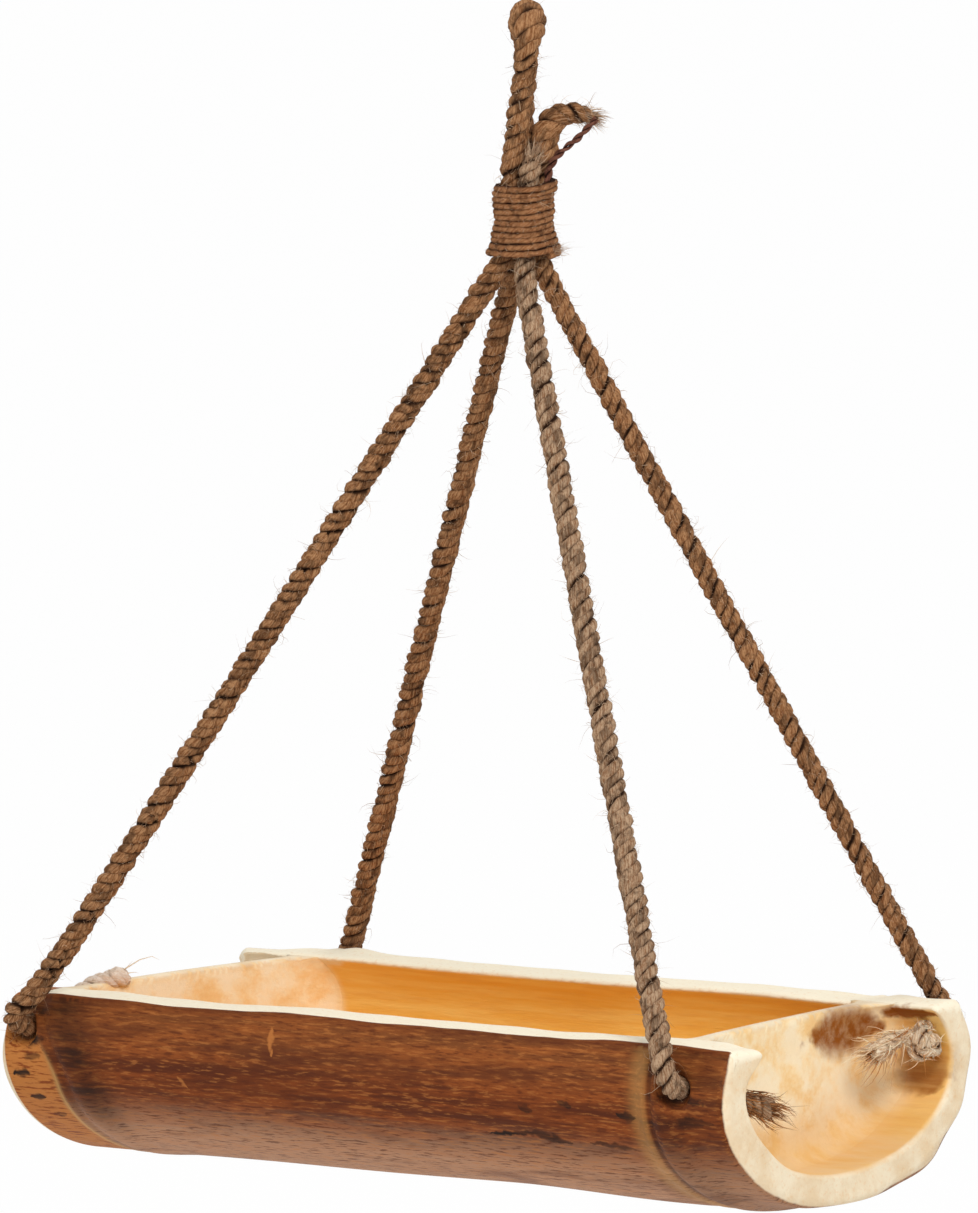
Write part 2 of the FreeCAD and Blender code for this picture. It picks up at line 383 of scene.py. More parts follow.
def mark_group() -> bpy.types.NodeTree:
    """Shared effect: a mask of a tapering mark along a line, such as a scratch or a crack.

    Start, Reach and Width are in millimetres. The nearest place on the line is a share t of it, and
    the mark's half width there is Width times 1 - 0.7 (2t - 1)^2, with a soft edge from 0.35 of that.
    """
    effect = Effect("tapering_mark", ("Vector", "Start", "Reach"), {"Width": 0.0}, ("Mask",))
    vector, start, reach, width = (effect.entry[name] for name in ("Vector", "Start", "Reach", "Width"))
    apart = effect.vector("SUBTRACT", first=vector, second=start)
    along = effect.vector("DOT_PRODUCT", "Value", first=apart, second=reach)
    whole = effect.vector("DOT_PRODUCT", "Value", first=reach, second=reach)
    share = effect.node("Math", {0: along, 1: whole}, operation="DIVIDE", use_clamp=True).outputs[0]
    nearest = effect.vector("SCALE", first=reach, Scale=share)
    gap = effect.vector("DISTANCE", "Value", first=apart, second=nearest)
    middle = effect.scaled(share, 2.0, -1.0)
    taper = effect.scaled(effect.math("MULTIPLY", middle, middle), -0.7, 1.0)
    edge = effect.math("MULTIPLY", width, taper)
    mask = effect.band(gap, edge, effect.math("MULTIPLY", edge, 0.35))
    effect.tree.links.new(mask, effect.leave["Mask"])
    return effect.tree


@dataclass(frozen=True)
class Mark:
    """One crack, scratch, tick or stain on the bamboo, in millimetres of the part's frame."""

    start: tuple
    end: tuple
    width: float
    strength: float
    tone: Tone = Tone.DARK


MARKS = (
    Mark((-51.7, -47.6, -241.8), (-50.1, -49.7, -248.8), 1.0, 0.75, Tone.PALE),
    Mark((-80.8, -49.6, -255.6), (-77.2, -48.6, -259.2), 0.8, 0.6, Tone.PALE),
    Mark((-113.3, -43.8, -266.9), (-112.4, -42.7, -268.2), 0.8, 0.5, Tone.PALE),
    Mark((70.0, -49.9, -254.0), (84.0, -49.9, -253.6), 0.8, 0.35, Tone.PALE),
    Mark((13.0, -46.3, -263.4), (31.5, -47.0, -262.5), 1.1, 1.0),
    Mark((27.0, -47.0, -262.3), (39.5, -45.8, -264.4), 1.9, 1.0),
    Mark((45.0, -46.2, -263.6), (60.5, -45.5, -264.8), 1.2, 1.0),
    Mark((56.0, -49.6, -255.8), (61.8, -49.4, -256.5), 1.5, 0.95),
    Mark((26.2, -49.6, -255.6), (30.2, -49.4, -256.8), 1.3, 0.8),
    Mark((38.2, -49.9, -254.0), (42.6, -49.8, -254.8), 1.3, 0.8),
    Mark((-125.5, -48.0, -243.4), (-120.5, -48.0, -242.6), 1.6, 0.85),
    # painted shadow at the lower edge of the front left rope hole
    Mark((-129.4, -49.6, -250.2), (-121.5, -49.5, -249.2), 2.2, 1.0),
    Mark((-133.0, -48.8, -258.7), (-127.6, -48.9, -258.3), 1.7, 1.0),
    Mark((-131.0, -45.4, -264.8), (-126.0, -45.6, -264.5), 1.5, 0.9),
    Mark((-129.5, -50.0, -254.2), (-123.8, -50.0, -253.8), 1.6, 0.85),
    Mark((-127.0, -41.0, -269.6), (-122.8, -41.2, -269.3), 1.4, 0.7),
    Mark((68.1, -49.5, -256.2), (85.4, -49.5, -256.2), 2.0, 0.8),
    # painted shadow along the front right rope hole's lower edge
    Mark((70.5, -50.0, -250.8), (82.3, -50.0, -250.7), 1.2, 0.6),
    # painted shadow under the front right rope hole
    Mark((66.6, -49.6, -250.4), (83.0, -50.0, -251.6), 1.0, 0.9),
    # painted shadow of the back right knot on the right plate
    Mark((70.5, 12.0, -244.4), (71.5, 35.0, -244.8), 9.0, 1.0, Tone.BROWN),
    # painted shadow: the darker left edge of the knot's shadow
    Mark((70.5, 9.0, -243.0), (71.0, 8.0, -249.0), 2.6, 0.9, Tone.BROWN),
    # painted shade under the right pocket's back rim
    Mark((70.0, 36.0, -241.2), (88.0, 36.5, -241.2), 3.0, 1.0, Tone.BROWN),
    # painted shade on the right pocket's back wall behind and below the back right knot
    Mark((76.0, 41.0, -248.0), (86.0, 41.0, -261.0), 11.0, 0.85, Tone.BROWN),
    # a fainter brown patch low on the right plate's face
    Mark((71.5, -26.0, -257.0), (72.0, -18.0, -262.0), 4.0, 0.4, Tone.BROWN),
)


@dataclass(frozen=True)
class Grain:
    """Random values that the bamboo's colours share, from fine fibres to broad blotches."""

    fine: Socket
    streak: Socket
    broad: Socket
    blotch: Socket
    speckle: Socket


@dataclass(frozen=True)
class BambooFinish:
    """Scraped brown skin outside, orange-gold bore inside and cream wherever the culm is cut."""

    skin: tuple = srgb(134, 66, 24)
    skin_dark: tuple = srgb(86, 36, 10)
    skin_light: tuple = srgb(190, 118, 58)
    # painted light: the paler underside, standing in for bounce light from the white floor
    belly_bounce_light: tuple = srgb(196, 146, 110)
    strip: tuple = srgb(190, 120, 58)
    scar: tuple = srgb(206, 158, 92)
    shade: tuple = srgb(34, 16, 6)
    bore: tuple = srgb(244, 186, 84)
    bore_light: tuple = srgb(250, 206, 116)
    cut: tuple = srgb(234, 208, 170)
    cut_light: tuple = srgb(253, 242, 216)
    plate: tuple = srgb(252, 220, 164)
    stain: tuple = srgb(230, 166, 80)
    # brown_shade: colour of the painted shadow and shade in the right pocket
    brown_shade: tuple = srgb(146, 82, 26)
    # deep: painted shade colour for the lower inside of the trough
    deep: tuple = srgb(214, 156, 84)

    def material(self) -> Material:
        """Material that reads the culm's zones and the distances from its rim and ends."""
        made, recipe = Recipe.for_material("bamboo")
        squeezed = {"Vector": recipe.place(), "Scale": (210.0, 1500.0, 1500.0)}
        fibres = recipe.node("Mapping", squeezed).outputs[0]
        streaks = recipe.group(grain_group(), Vector=fibres, Fine=1.0, Broad=0.3).outputs
        grain = Grain(
            fine=streaks["Fine"],
            streak=streaks["Broad"],
            broad=recipe.noise((26.0, 330.0, 330.0), 4.0, 0.62),
            blotch=recipe.noise((26.0, 90.0, 90.0), 4.0, 0.62),
            speckle=recipe.noise((900.0, 900.0, 900.0), 2.0, 0.5),
        )
        marks = self.marks(recipe)
        skin = self.skin_colour(recipe, grain)
        skin = recipe.tint(skin, self.skin_light, marks[Tone.PALE], recipe.band(grain.blotch, 0.2, 0.5))
        gaps = recipe.scaled(recipe.band(grain.streak, 0.36, 0.6), -0.35, 1.0)
        # dark marks: cracks and ticks, and painted shadow under the front rope holes
        skin = recipe.tint(skin, self.shade, marks[Tone.DARK], gaps)
        inner = self.inner_colour(recipe, grain)
        patchy = recipe.scaled(recipe.band(grain.broad, 0.66, 0.4), 0.2, 0.8)
        # brown marks: painted shadow and shade in the right pocket
        inner = recipe.tint(inner, self.brown_shade, marks[Tone.BROWN], patchy)
        from_rim = recipe.math("ADD", recipe.attribute("rim_gap"), recipe.scaled(grain.streak, 1.0, -0.5))
        from_end = recipe.math("ADD", recipe.attribute("end_gap"), recipe.scaled(grain.blotch, 1.2, -0.6))
        colour = recipe.tint(inner, skin, recipe.band(from_rim, 0.15, 0.5), recipe.band(from_end, 1.0, 1.5))
        # painted shade round the rope holes' mouths, from the mark attribute
        colour = recipe.mix(recipe.attribute("mark"), colour, self.shade)
        relief = recipe.scaled(grain.fine, 0.5, recipe.math("MULTIPLY", grain.broad, 0.9))
        roughness = recipe.node("MapRange", {"Value": grain.broad, "To Min": 0.5, "To Max": 0.74}).outputs[0]
        recipe.finish(colour, roughness, relief, depth=0.3, gloss=0.14)
        return made

    def marks(self, recipe: Recipe) -> dict:
        """Mask of each tone's marks: the greatest of its tapering lines, made a little ragged by noise."""
        place = recipe.place()
        wave = recipe.node("TexNoise", {"Vector": place, "Scale": 420.0, "Detail": 2.0}).outputs["Color"]
        wave = recipe.vector("SUBTRACT", first=wave, second=(0.5, 0.5, 0.5))
        wave = recipe.vector("SCALE", first=wave, Scale=2.4)
        where = recipe.vector("ADD", first=recipe.vector("SCALE", first=place, Scale=1 / MM), second=wave)
        tree = mark_group()
        masks = {}
        for mark in MARKS:
            reach = tuple(b - a for a, b in zip(mark.start, mark.end))
            line = recipe.group(tree, Vector=where, Start=mark.start, Reach=reach, Width=mark.width)
            mask = recipe.math("MULTIPLY", line.outputs["Mask"], mark.strength)
            seen = masks.get(mark.tone)
            masks[mark.tone] = recipe.math("MAXIMUM", seen, mask) if seen else mask
        return masks

    def skin_colour(self, recipe: Recipe, grain: Grain) -> Socket:
        """Colour of the skin: short fibres on brown, painted bounce light on the underside, painted shadow
        under the rim's edge, strips and scars at the nodes.
        """
        level = recipe.scaled(grain.broad, 0.006, recipe.height())
        tints = (
            (self.skin_light, recipe.band(level, (RIM_Z - 14) * MM, (RIM_Z - 1) * MM), 0.22),
            # painted bounce light: the skin grows paler towards the underside
            (self.belly_bounce_light, recipe.band(level, (RIM_Z - 18) * MM, (RIM_Z - 33) * MM), 0.85),
            (self.skin_light, recipe.band(grain.fine, 0.53, 0.64), 0.45),
            (self.skin_dark, recipe.band(grain.fine, 0.47, 0.36), 0.7),
            (self.skin_dark, recipe.band(grain.blotch, 0.5, 0.66), 0.45),
            # painted shadow: a dark band on the skin just under the rim's edge
            (self.skin_dark, recipe.band(recipe.attribute("rim_gap"), 2.6, 0.4), 0.6),
        )
        skin = recipe.mix(recipe.band(grain.broad, 0.36, 0.62), self.skin_dark, self.skin)
        for colour, mask, strength in tints:
            skin = recipe.tint(skin, colour, mask, strength)
        strip = recipe.mix(recipe.band(grain.blotch, 0.4, 0.65), self.strip, self.skin_light)
        strip = recipe.mix(recipe.band(grain.fine, 0.5, 0.36), strip, self.skin)
        skin = recipe.mix(recipe.attribute("strip"), skin, strip)
        skin = recipe.mix(recipe.attribute("pale"), skin, self.scar)
        ragged = recipe.scaled(recipe.band(grain.broad, 0.35, 0.65), -0.3, 1.0)
        # darkens by the dark attribute, which holds painted shade beside the left node
        return recipe.tint(skin, self.shade, recipe.attribute("dark"), ragged)

    def inner_colour(self, recipe: Recipe, grain: Grain) -> Socket:
        """Colour away from the skin: bore, node plates with yellow stains, and the cream of the cuts."""
        bore = recipe.mix(recipe.band(grain.broad, 0.3, 0.72), self.bore, self.bore_light)
        bore = recipe.tint(bore, self.stain, recipe.band(grain.streak, 0.5, 0.3), 0.3)
        cut = recipe.tint(self.cut, self.cut_light, recipe.band(grain.blotch, 0.35, 0.65), 0.6)
        cut = recipe.mix(recipe.attribute("brim"), cut, self.cut_light)
        cut = recipe.tint(cut, self.stain, recipe.band(grain.speckle, 0.56, 0.7), 0.18)
        plate = recipe.tint(self.plate, self.cut_light, recipe.band(grain.blotch, 0.38, 0.62), 0.7)
        plate = recipe.tint(plate, self.stain, recipe.band(grain.blotch, 0.54, 0.3), 0.4)
        inner = recipe.mix(recipe.attribute("plate"), bore, plate)
        # painted shade: the bore and plates darken deeper down in the trough
        level = recipe.scaled(grain.blotch, 0.012, recipe.height())
        inner = recipe.tint(inner, self.deep, recipe.band(level, (RIM_Z - 8) * MM, (RIM_Z - 28) * MM), 0.45)
        return recipe.mix(recipe.attribute("cut"), inner, cut)


@dataclass(frozen=True)
class JuteFinish:
    """Hairy jute yarn: pale on its crests, with painted shade in the grooves between its strands.

    The mesh carries fibre, a vector of the cosine and sine round the yarn and the length along it,
    and crest, one on the rope's outside and zero in its grooves.
    """

    name: str = "jute_rope"
    crest: tuple = srgb(200, 168, 136)
    body: tuple = srgb(142, 100, 68)
    # groove: painted shade colour of the grooves, also the rope's dark patches and lumps
    groove: tuple = srgb(56, 34, 20)
    low_crest: float = 0.76
    high_crest: float = 0.97
    patches: float = 0.6

    def material(self) -> Material:
        """Material of the strands."""
        made, recipe = Recipe.for_material(self.name)
        fibre = recipe.attribute("fibre", "Vector")
        along = recipe.noise((3.4, 3.4, 0.7), 4.0, 0.68, fibre)
        patch = recipe.noise((0.5, 0.5, 0.3), 3.0, 0.6, fibre)
        lump = recipe.noise((420.0, 420.0, 420.0), 3.0, 0.6)
        colour = recipe.mix(recipe.band(along, 0.36, 0.62), self.body, self.crest)
        colour = recipe.tint(colour, self.groove, recipe.band(patch, 0.48, 0.66), self.patches)
        colour = recipe.tint(colour, self.groove, recipe.band(lump, 0.52, 0.68), 0.55)
        # painted shade: the groove colour where crest is low, between the strands and on a winding's inward
        # side
        depth = recipe.band(recipe.attribute("crest"), self.low_crest, self.high_crest)
        colour = recipe.mix(depth, self.groove, colour)
        recipe.finish(colour, 0.9, recipe.scaled(lump, 0.8, along), depth=0.55, gloss=0.1)
        return made


@dataclass(frozen=True)
class FibreFinish:
    """Loose fibres that stand off the jute, each somewhere between two colours."""

    name: str = "loose_fibres"
    pale: tuple = srgb(222, 192, 160)
    brown: tuple = srgb(140, 98, 66)

    def material(self) -> Material:
        """Material with a colour that changes from fibre to fibre."""
        made, recipe = Recipe.for_material(self.name)
        colour = recipe.mix(recipe.attribute("pick"), self.brown, self.pale)
        recipe.finish(colour, 0.85, recipe.noise((900.0, 900.0, 900.0), 2.0), depth=0.05, gloss=0.2)
        return made


@dataclass(frozen=True)
class Finishes:
    """The finishes that the ropes, knots and twine share."""

    rope: JuteFinish = JuteFinish()
    # shaded_rope: a darker, browner copy of the rope, painted shade for the ropes that hang in shade
    shaded_rope: JuteFinish = JuteFinish("jute_rope_shaded", srgb(188, 140, 98), srgb(124, 76, 42))
    pale_rope: JuteFinish = JuteFinish(
        "jute_rope_pale", srgb(252, 234, 206), srgb(212, 168, 124), srgb(120, 72, 36), 0.5, patches=0.3)
    bleached_rope: JuteFinish = JuteFinish(
        "jute_rope_bleached", srgb(255, 240, 226), srgb(238, 210, 182), srgb(176, 142, 108), 0.3, patches=0.2)
    twine: JuteFinish = JuteFinish(
        "jute_twine", srgb(192, 138, 94), srgb(142, 88, 54), srgb(50, 24, 12), 0.64, 1.0, 0.3)
    # dark_twine: darker copy of the twine, painted shade for the whipping's free end, which hangs in shade
    dark_twine: JuteFinish = JuteFinish(
        "jute_twine_shaded", srgb(148, 98, 78), srgb(104, 62, 50), srgb(48, 22, 18), 0.3, 0.8, 0.2)
    fibres: FibreFinish = FibreFinish()
    knot_fibres: FibreFinish = FibreFinish("knot_fibres", srgb(190, 132, 80), srgb(104, 58, 28))
    mixed_fibres: FibreFinish = FibreFinish("mixed_fibres", srgb(255, 240, 206), srgb(196, 130, 68))
    pale_fibres: FibreFinish = FibreFinish("pale_fibres", srgb(252, 238, 214), srgb(232, 204, 170))

    def materials(self) -> dict[str, Material]:
        """Each finish's material, made once, by the finish's field."""
        return {field: finish.material() for field, finish in vars(self).items()}


@dataclass
class Culm:
    """The trough: an oval culm cut open above its rim plane, with two nodes.

    Sizes are in millimetres. Its own frame has its middle at the origin, the culm's line along X
    and the rim plane 13 above that line; place() moves it to where it hangs.
    """

    half_length: float = 113.0
    half_width: float = 50.0
    half_height: float = 31.4
    wall: float = 8.7
    rim: float = 13.0
    outer_round: float = 2.6
    inner_round: float = 1.2
    rim_round: float = 1.0
    right_node: float = 91.8
    left_node: float = -92.0
    left_slant: float = 13.5
    skin_over_rim: float = 1.1
    plate_half: float = 1.5
    outer_points: int = 150
    dish_reach: float = 45.65

    # Each rope hole's place along the culm, its side of it and its height from the rim
    HOLES = ((-106.5, -1, -8.2), (-89.5, 1, -12.0), (97.2, -1, -10.0), (105.7, 1, -9.0))

    @property
    def left_tilt(self) -> float:
        """How far the left plate moves along the culm for each step back."""
        return math.tan(math.radians(self.left_slant))

    def to_end(self, x: Points) -> Points:
        """Distance from the nearer end."""
        return self.half_length - np.abs(x)

    def stations(self) -> Points:
        """Places along the culm, close together at its nodes, holes and rounded ends."""
        fine = [np.arange(-113.0, -72.0, 0.75), np.arange(83.0, 113.0, 0.75)]
        ends = self.half_length - np.array([0.0, 0.12, 0.45, 1.0, 1.7, 2.6])
        broad = np.arange(-72.0, 83.0, 1.6)
        return np.unique(np.round(np.concatenate([*fine, broad, ends, -ends]), 3))

    def left_scar(self, y: Points, z: Points) -> Points:
        """Place along the culm of the left node's outside: it bends to the end near the front rim."""
        return -91.6 - 8.0 * smoothstep(-9.0, 13.0, z) * (y < 0) + 0.3 * np.maximum(y, 0)

    def ring_relief(self, x: Points, y: Points, z: Points) -> Points:
        """How proud the nodes stand of the skin.

        Each node is a narrow scar, a groove and a wider swelling towards +X. The height is read off
        a broken line by the distance from the node's line round the skin, and the left node gets
        lower underneath.
        """
        place = np.array([-6.2, -4.6, -3.7, -2.6, -1.4, 0.0, 1.5, 4.0, 6.5, 9.5, 12.0])
        rise = np.array([0.0, 0.55, 1.0, 0.75, 0.45, 1.25, 1.7, 1.45, 0.85, 0.2, 0.0])
        total = np.zeros(np.broadcast(x, y).shape)
        for node, seed, low in ((self.right_node, 3, 1.0), (self.left_scar(y, z), 4, 0.3)):
            wander = 0.5 * soft_noise(y, seed, slowest=0.03, fastest=0.12)
            distance = x - node + wander
            proud = np.interp(distance, place, rise) * (1 + 0.16 * soft_noise(y, seed + 9, fastest=0.2))
            total = total + proud * (1 - (1 - low) * smoothstep(-16.0, -27.0, z))
        return total

    def mouths(self, x: Points, y: Points, z: Points, outside: float, inside: float) -> Points:
        """One within the inside radius of a rope hole's middle and zero past the outside one."""
        near = np.zeros(np.broadcast(x, y).shape)
        for hole_x, side, below in self.HOLES:
            apart = np.hypot(x - hole_x, z - self.rim - below)
            near = near + (y * side > 0) * smoothstep(outside, inside, apart)
        return near

    def skin_relief(self, x: Points, y: Points, z: Points) -> Points:
        """Proudness of the skin: nodes, a slow unevenness and the worn mouths of the rope holes.

        The underside also swells before the right node, and its right end is squarer at the back.
        """
        relief = self.ring_relief(x, y, z)
        relief = relief + 0.16 * soft_noise(x, 21, fastest=0.08) * soft_noise(y + 0.4 * z, 22, fastest=0.15)
        swelling = 1.1 * smoothstep(20.0, 74.0, x) * smoothstep(93.0, 80.0, x)
        relief = relief + swelling * smoothstep(-8.0, -24.0, z)
        squarer = 1.6 * bell(y, 32.0, 9.0) - 1.4 * bell(y, -2.0, 11.0)
        relief = relief + squarer * smoothstep(94.0, 107.0, x) * (z < 0)
        return relief - 3.2 * self.mouths(x, y, z, 5.6, 2.8)

    def arc(self, width: float, height: float, top: float, count: int) -> Points:
        """Angles that share out an oval's lower arc evenly, from the front rim to the back rim.

        An angle a stands for the point (-width cos a, -height sin a). The arc's length is summed
        on fine steps and shared out by interpolation.

        Args:
            width, height: Half sizes of the oval.
            top: Height of the rim above the oval's middle.
            count: Number of angles.

        Returns:
            The angles.
        """
        start = math.asin(top / height)
        angles = np.linspace(-start, math.pi + start, 2000)
        travel = spans(np.stack([width * np.cos(angles), height * np.sin(angles)], axis=-1))
        return np.interp(np.linspace(0, travel[-1], count), travel, angles)

    def wall_grid(self, outer: bool) -> Points:
        """The skin or the bore's wall, from the front rim round to the back rim.

        The oval's angle a gives (-W cos a, -H sin a), where W and H are the half sizes plus the
        relief and less the end's rounding.
        """
        x = self.stations()[:, None]
        inset = 0.0 if outer else self.wall
        width, height = self.half_width - inset, self.half_height - inset
        edge = self.rim - self.rim_round
        angles = self.arc(width, height, edge, self.outer_points)[None, :]
        y, z = -width * np.cos(angles), -height * np.sin(angles)
        rounding = quarter_round(self.to_end(x), self.outer_round if outer else self.inner_round)
        if outer:
            grow = self.skin_relief(x, y, z) * smoothstep(0.0, 2.5, self.to_end(x)) - rounding
            grow = grow * (1 - 0.45 * smoothstep(edge - 3.5, edge, z))
        else:
            thick = 1.6 * smoothstep(103.0, 110.0, x) * smoothstep(-22.0, -36.0, y)
            grow = rounding - thick + 0.22 * soft_noise(x, 31, fastest=0.06) * soft_noise(y, 32, fastest=0.1)
        normal = unit(np.stack([y / width ** 2, z / height ** 2], axis=-1))
        y, z = y + grow * normal[..., 0], z + grow * normal[..., 1]
        grid = np.stack([np.broadcast_to(x, grow.shape), y, z], axis=-1)
        grid[..., 2] += self.rim_sag(grid[..., 0], grid[..., 1]) * smoothstep(4.0, 11.0, grid[..., 2])
        if not outer:
            grid[..., 2] += self.flat_rim(grid[..., 0], grid[..., 1]) * smoothstep(8.0, 11.5, grid[..., 2])
        grid[..., 0] += self.end_wander(grid[..., 0], grid[..., 1], grid[..., 2], -1.0 if outer else 8.5)
        return grid

    def flat_rim(self, x: Points, y: Points) -> Points:
        """How far the rim has lost its rounding: all of it at the back left end."""
        return smoothstep(-88.0, -103.0, x) * (y > 0)

    def rim_sag(self, x: Points, y: Points) -> Points:
        """Hand-cut unevenness of the rim, rubbed round at its four ends, most at the front left."""
        side = np.where(y > 0, 400.0, 0.0)
        worn = quarter_round(self.to_end(x), np.where((x < 0) & (y < 0), 4.6, 2.2))
        return 0.28 * soft_noise(x + side, 41, fastest=0.12) - 0.8 * worn

    def end_wander(self, x: Points, y: Points, z: Points, worn: float) -> Points:
        """Sawn ends that aren't quite flat: a shift along X that grows over the last few millimetres.

        The left end also reaches further out below the rim.

        Args:
            x, y, z: Points of the skin or the bore.
            worn: How much shorter the wall is at the back left corner of the rim.
        """
        share = smoothstep(self.half_length - 6, self.half_length, np.abs(x))
        wave = 0.35 * soft_noise(y + 2 * z, 51, fastest=0.2)
        corner = smoothstep(3.0, 12.0, z) * smoothstep(16.0, 34.0, y)
        corner = corner * smoothstep(self.half_length - 21, self.half_length, -x)
        longer = 1.7 * smoothstep(9.0, -12.0, z) * (x < 0)
        shift = np.where(x > 0, wave, -wave) - 0.35 * np.sign(x) - longer
        return shift * share + worn * corner

    def rim_strip(self, outer: Points, inner: Points) -> Points:
        """Rounded strip between the skin's and the bore's edge on one side.

        Across the strip a share t runs from the skin to the bore, and the height above the two
        edges is the rim's rounding times 1 - (2t - 1)^8 to the power 0.45, so it is flat but for
        its corners.

        Args:
            outer, inner: The edges' points along the culm.

        Returns:
            Points by station and place across the strip.
        """
        t = np.concatenate([[0, 0.012, 0.045, 0.1], np.linspace(0.2, 0.8, 6), [0.9, 0.955, 0.988, 1]])
        rise = self.rim_round * np.maximum(1 - np.abs(2 * t - 1) ** 8, 0) ** 0.45
        strip = between(outer[:, None], inner[:, None], t[None, :, None])
        rise = rise * (1 - 0.9 * self.flat_rim(strip[..., 0], strip[..., 1]))
        scrape = 0.1 * soft_noise(strip[..., 0] * 0.6 + 9 * t[None, :], 61, fastest=0.5)
        strip[..., 2] += rise + scrape * (rise / self.rim_round)
        return strip

    def zones(self, grid: Points) -> dict:
        """How far the skin's points are from the rim and the end, where strips and scars lie, where the skin
        darkens, partly with painted shade, and where shade is painted round the holes.

        Args:
            grid: Points of the skin.

        Returns:
            Per-point values by name.
        """
        x, y, z = grid[..., 0], grid[..., 1], grid[..., 2]
        left = x - self.left_scar(y, z)
        right = x - self.right_node
        wander = 0.6 * soft_noise(z, 71, fastest=0.4)
        strip = smoothstep(-3.9, -5.2, left + wander)
        pale = 0.75 * bell(left + 0.5 * wander, -4.4, 0.9) * smoothstep(4.0, -8.0, z)
        pale = pale + 0.34 * smoothstep(-10.0, -5.5, right) * smoothstep(-2.3, -3.1, right)
        # dark: a darker zone right of the right node, a dark line in each node's groove, painted shade beside
        # the left node and a darker zone right of it low down
        dark = 0.34 * smoothstep(-2.6, -1.4, right + 0.4 * wander) * (1 - 0.3 * smoothstep(8, 14, right))
        dark = dark + 0.42 * bell(right, -1.6, 0.8) + 0.3 * bell(left + 0.5 * wander, -2.4, 1.4)
        # painted shade: a broad band just right of the left node, the shading of its groove
        dark = dark + 0.5 * bell(left, 5.5, 5.0) * smoothstep(-29.0, -10.0, z)
        beside = 0.34 * smoothstep(20, 6, left) * smoothstep(-3.0, 1.0, left)
        dark = dark + beside * smoothstep(-26.0, -10.0, z)
        # mark: painted shade round the mouths of the rope holes
        shares = {"strip": strip, "pale": pale, "dark": dark, "mark": 0.9 * self.mouths(x, y, z, 4.4, 3.2)}
        return {
            "rim_gap": np.where(y < 0, z[:, :1], z[:, -1:]) - z + self.skin_over_rim,
            "end_gap": self.to_end(x),
            **{name: np.clip(share, 0, 1) for name, share in shares.items()},
        }

    def plate_grid(self, node: float, tilt: float, dish: float, side: int, fillet: float) -> Points:
        """One face of a node's plate.

        A point is shared between the straight top edge and the bore's arc below it. Its x is the
        node's, plus y times the tilt, less the dish times 1 - (r / dish_reach)^2, plus half the
        thickness, which swells by a quarter circle of the fillet's radius where it meets the wall.
        """
        width, height = self.half_width - self.wall, self.half_height - self.wall
        across = self.arc(width, height, self.rim - 1.5, 90)[None, :]
        wall_y, wall_z = -1.02 * width * np.cos(across), -1.02 * height * np.sin(across)
        share = (1 - (1 - np.linspace(0, 1, 48)) ** 2.4)[:, None]
        top_y = np.linspace(-1, 1, 90)[None, :] * (width * math.cos(math.asin(self.rim / height)) + 2.6)
        y = between(top_y, wall_y, share)
        z = between(self.rim - 0.7 + 0.5 * smoothstep(32.8, 34.6, np.abs(top_y)), wall_z, share)
        swell = quarter_round((1 - np.hypot(y / width, z / height)) * height, fillet)
        middle = node + y * tilt - dish * (1 - (y ** 2 + z ** 2) / self.dish_reach ** 2)
        rough = 0.22 * soft_noise(y + 0.3 * z, 81 + side, fastest=0.5) * soft_noise(z, 83, fastest=0.5)
        return np.stack([middle + side * (self.plate_half + swell + rough), y, z], axis=-1)

    def plate_share(self, grid: Points) -> Points:
        """How far the inside has a plate's cream: a pocket but its back wall, and close by the left plate."""
        x, y, z = grid[..., 0], grid[..., 1], grid[..., 2]
        left = x - self.left_node - y * self.left_tilt
        pocket = np.maximum(smoothstep(90.0, 92.0, x), smoothstep(2.0, -2.0, left))
        bare = 0.8 * smoothstep(14.0, 36.0, y) * smoothstep(94.0, 106.0, np.abs(x))
        beside = smoothstep(6.5, 2.5, left) * (x < 0)
        return np.maximum(pocket * (1 - bare), beside) * (1 - 0.35 * smoothstep(-8.0, -20.0, z))

    def place(self, grid: Points) -> Points:
        """Move points of the culm's own frame to where it hangs."""
        return grid + np.array([CULM_X, 0.0, RIM_Z - self.rim])

    def build(self) -> Object:
        """Make the whole trough and let it stand for the CAD node."""
        culm = Surface.empty("rim_gap", "end_gap", "strip", "pale", "dark", "mark", "plate", "cut", "brim")
        inside = {"rim_gap": -9.0, "end_gap": -9.0}
        outer, inner = self.wall_grid(True), self.wall_grid(False)
        culm.add_grid(self.place(outer), cut=1.0, **self.zones(outer))
        x, y, z = inner[..., 0], inner[..., 1], inner[..., 2]
        from_left = np.abs(x - self.left_node - self.left_tilt * y)
        beside = smoothstep(12.0, 8.0, np.minimum(np.abs(x - self.right_node - 3), from_left)) * (y > 0)
        below_rim = np.where(y < 0, z[:, :1], z[:, -1:]) - z
        brim = smoothstep(0.7 + 1.6 * beside, beside, below_rim)
        edge = np.maximum(smoothstep(1.6, 0.2, self.to_end(x)), brim)
        culm.add_grid(self.place(inner), flip=True, cut=edge, plate=self.plate_share(inner), **inside)
        strips = [self.rim_strip(outer[:, column], inner[:, column]) for column in (0, -1)]
        for strip, back in zip(strips, (False, True)):
            x = strip[..., 0]
            across = np.abs(strip[..., 1] - strip[:, :1, 1])
            worn = 0.0 if back else 16.0 * smoothstep(-101.5, -105.0, x)
            culm.add_grid(self.place(strip), flip=back, cut=1.0, brim=1.0, end_gap=self.to_end(x),
                          rim_gap=worn + self.skin_over_rim - across, strip=smoothstep(-102.5, -104.5, x))
        for row, flip in ((0, False), (-1, True)):
            face = self.end_face(outer[row], inner[row], *(strip[row] for strip in strips))
            across = np.linalg.norm(face - face[:, :1], axis=-1)
            culm.add_grid(self.place(face), flip=flip, cut=1.0, rim_gap=9.0, end_gap=-across)
